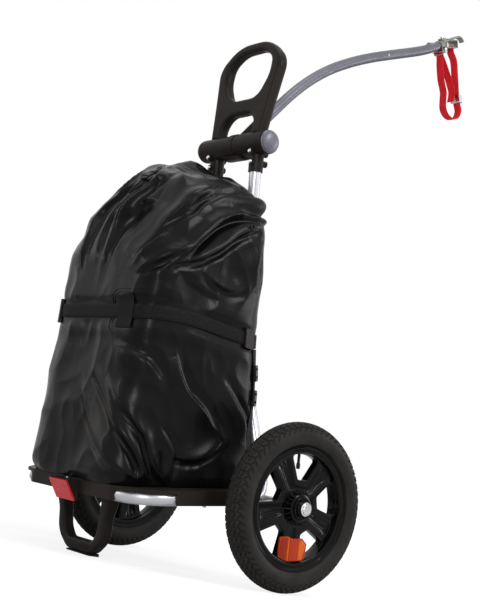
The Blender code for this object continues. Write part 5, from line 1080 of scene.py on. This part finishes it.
def make_wheel(side):
    """Moulded wheel: a rim, a web with five openings, a recess in both faces of each spoke, a finned hub."""
    step = 2 * math.pi / SPOKE_COUNT
    windows = [FIRST_WINDOW_ANGLE + step * index for index in range(SPOKE_COUNT)]
    spokes = [angle + step / 2 for angle in windows]
    web = [circle(RIM_INNER_RADIUS + 0.0012, 180), circle(HUB_RADIUS - 0.0015, 96)]
    holes = [*(window_outline(angle) for angle in windows), *(pocket_outline(angle) for angle in spokes)]
    skin = plate("web_skin", [*web, *holes], 2 * WEB_HALF_WIDTH, 0.0014)
    wider = [window_outline(angle, 0.0009) for angle in windows]
    core = plate("web_core", [*web, *wider], 2 * (WEB_HALF_WIDTH - POCKET_DEPTH), 0.0002, 0)
    end, edge = HUB_HALF_WIDTH, HUB_RADIUS
    half_hub = [(end - 0.003, HUB_BORE), (end - 0.003, 0.0155), (end - 0.0004, 0.016), (end, 0.0166)]
    half_hub += [(end, edge - 0.0052), (end - 0.0004, edge - 0.0046), (end - 0.0042, edge - 0.004)]
    half_hub += [(end - 0.0048, edge - 0.001), (end - 0.0056, edge)]
    parts = [(turned("rim", rim_profile(), 200), Matrix()), (turned("hub", mirrored(half_hub)), Matrix())]
    parts += [(skin, FACE_ON), (core, FACE_ON)]
    bowl = pocket_bowl()
    for angle in spokes:
        for turn in (0, math.pi):
            parts.append((bowl, Matrix.Rotation(angle, 4, "X") @ Matrix.Rotation(turn, 4, "Y")))
    fin = rod("fin", 0.0009, (end - 0.0075, edge - 0.0005, 0), (end - 0.0145, edge + 0.007, 0), 12)
    for index in range(4 * SPOKE_COUNT):
        parts.append((fin, Matrix.Rotation(spokes[0] + (index + 0.5) * step / 4, 4, "X")))
    add_to_wheel("wheel_shell", joined("wheel_shell", parts), "wheel_plastic", side, 35, "wheel")


def make_spoke_reflector(side):
    """Amber reflector of faceted panels, clipped to a spoke."""
    for label, look, outline, thickness in REFLECTOR_PANELS:
        corner = 0.0028 if label == "body" else 0.0008
        corners = [(y / 1000, z / 1000, corner) for y, z in outline]
        mesh = plate(label, [rounded(corners, step=math.radians(15))], thickness / 1000, 0.0007)
        mesh.transform(Matrix.Translation((REFLECTOR_BACK + thickness / 2000, 0, 0)) @ FACE_ON)
        add_to_wheel("reflector_" + label, mesh, look, side, 30, "spoke_reflector")


# Frame, tray and foot


def frame_path():
    path = whole(FRAME_CORNERS, math.radians(4))
    dense = [path[0]]
    for here, there in zip(path, path[1:]):
        count = max(1, round(math.dist(here, there) / 0.02))
        stretch = np.subtract(there, here)
        dense += [here + stretch * part / count for part in range(1, count + 1)]
    return dense


def make_frame():
    """The bent tube, the beam on the wheel axis and its two sockets, as one welded piece."""
    beam = FLARE_FOOT_X + 0.002
    parts = [(swept("loop", frame_path(), TUBE_RADIUS, 40), Matrix())]
    parts.append((rod("axle_beam", AXLE_BEAM_RADIUS, (-beam, 0, 0), (beam, 0, 0)), Matrix()))
    radius, end, floor = AXLE_SOCKET_RADIUS, AXLE_SOCKET_END, AXLE_SOCKET_END - AXLE_SOCKET_DEPTH
    profile = [(FLARE_FOOT_X, 0), (FLARE_FOOT_X, radius), (end - 0.001, radius), (end, radius - 0.001)]
    profile += [(end, AXLE_SOCKET_BORE), (floor, AXLE_SOCKET_BORE), (floor, 0)]
    socket = turned("socket", profile, 48, False)
    parts += [(socket, Matrix()), (socket, Matrix.Rotation(math.pi, 4, "Z"))]
    add("frame_tube", joined("frame_tube", parts), "silver", "trailer", smooth_angle=35, replaces=["frame"])


def make_foot():
    top = TRAY_PLATE_BOTTOM - 0.0003
    outer = whole([(FOOT_OUTLINE[0][0], top, 0), *FOOT_OUTLINE, (0, FOOT_OUTLINE[-1][1], 0)])
    inner = whole([(FOOT_INNER_TOP_X, top, 0), *FOOT_INNER, (0, FOOT_INNER[-1][1], 0)])
    mesh = plate("foot_arch", [[*outer, *reversed(inner)]], FOOT_DEPTH, 0.0045, 4)
    stand = Matrix.Translation((0, FOOT_REAR_Y + FOOT_DEPTH / 2, 0)) @ Matrix.Rotation(math.pi / 2, 4, "X")
    add("foot_arch", mesh, "black_plastic", "trailer", stand, 35, ["foot"])


# Handle and tow bar


def make_handle():
    loops = [[*whole(HANDLE_OUTER), *reversed(whole(HANDLE_ARCH))], whole(HANDLE_OPENING)[1:-1]]
    mesh = plate("handle_grip", loops, HANDLE_THICKNESS, HANDLE_ROUNDING, 6)
    lean = Matrix.Rotation(math.pi / 2 - HANDLE_LEAN, 4, "X")
    place = Matrix.Translation((0, UPRIGHT_Y, HANDLE_BASE_Z)) @ lean
    add("handle_grip", mesh, "black_plastic", "trailer", place, replaces=["handle"])


def make_tow_bar():
    ends = [polar(reach, BAR_ANGLE) for reach in (BAR_START, BAR_STRAIGHT_END)]
    start, bend = ((0, HEAD_Y + y, HEAD_Z + z) for y, z in ends)
    straight = [np.add(start, np.subtract(bend, start) * part / 4) for part in range(4)]
    curve = smooth_line([bend, *((0, y, z) for y, z in BAR_ROUTE)], 10)
    mesh = swept("bar_tube", [*straight, *curve], BAR_RADIUS, 40)
    add("bar_tube", mesh, "grey", "tow_bar", smooth_angle=35, replaces=["tow_bar"])


def make_strap():
    """Red webbing: the hanging loop, its tail, and the stretch from above the buckle to the bracket."""

    def webbing(name, route, shift=0.0):
        line = smooth_line([(0, y + shift, z) for y, z in route], 8)
        normals = np.cross((1, 0, 0), np.gradient(line, axis=0))
        return ribbon(name, line, normals, STRAP_WIDTH, STRAP_THICKNESS, -STRAP_THICKNESS / 2, 0.0004)

    parts = [(webbing("loop", STRAP_LOOP), Matrix()), (webbing("tail", STRAP_TAIL), Matrix())]
    loop = joined("strap_loop", parts)
    add("strap_loop", loop, "red_webbing", "tow_bar", smooth_angle=60, replaces=["safety_strap"])
    piece = add("strap_reach", webbing("reach", STRAP_REACH, -0.0002), "red_webbing", smooth_angle=60)
    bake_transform(piece)
    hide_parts("safety_strap")


def make_hub_ring(side):
    """Raised ring round the axle button, and a dark finish on the plain bearing."""
    bush = frame["nodes"]["wheel_bush_" + side].data.materials
    bush.clear()
    bush.append(LOOKS["wheel_plastic"])
    low, high = HUB_HALF_WIDTH + 0.0001, HUB_HALF_WIDTH + 0.0009
    mesh = turned("hub_ring", [(low, 0.0172), (high, 0.0176), (high, 0.0184), (low, 0.0188)], 64)
    add_to_wheel("hub_ring", mesh, "wheel_plastic", side, 60)


def soften_nodes():
    """Rounds the edges of the moulded and pressed CAD pieces."""
    edges = {
        0.0008: ("tray", "reflector_holder", "hinge_head_right", "hinge_head_left", "tow_hub"),
        0.0005: ("rear_reflector", "belt_slider_rear", "belt_slider_front"),
        0.00035: ("hitch_bracket", "strap_buckle", "strap_buckle_lever", "hitch_plug"),
    }
    for width, names in edges.items():
        for name in names:
            modifier = frame["nodes"][name].modifiers.new("edges", "BEVEL")
            modifier.width = width
            modifier.segments = 3
            modifier.limit_method = "ANGLE"
            modifier.angle_limit = math.radians(32)
            modifier.use_clamp_overlap = True


# The scene

make_surfaces()
make_camera()
make_stage()
finish_frame_nodes()
bag_base, bag_shape = make_bag()
make_belt(bag_base)
make_bag_fittings(bag_base, bag_shape)
for wheel_side in ("right", "left"):
    make_tyre(wheel_side)
    make_wheel(wheel_side)
    make_spoke_reflector(wheel_side)
make_frame()
make_foot()
make_handle()
make_tow_bar()
make_strap()
for wheel_side in ("right", "left"):
    make_hub_ring(wheel_side)
soften_nodes()
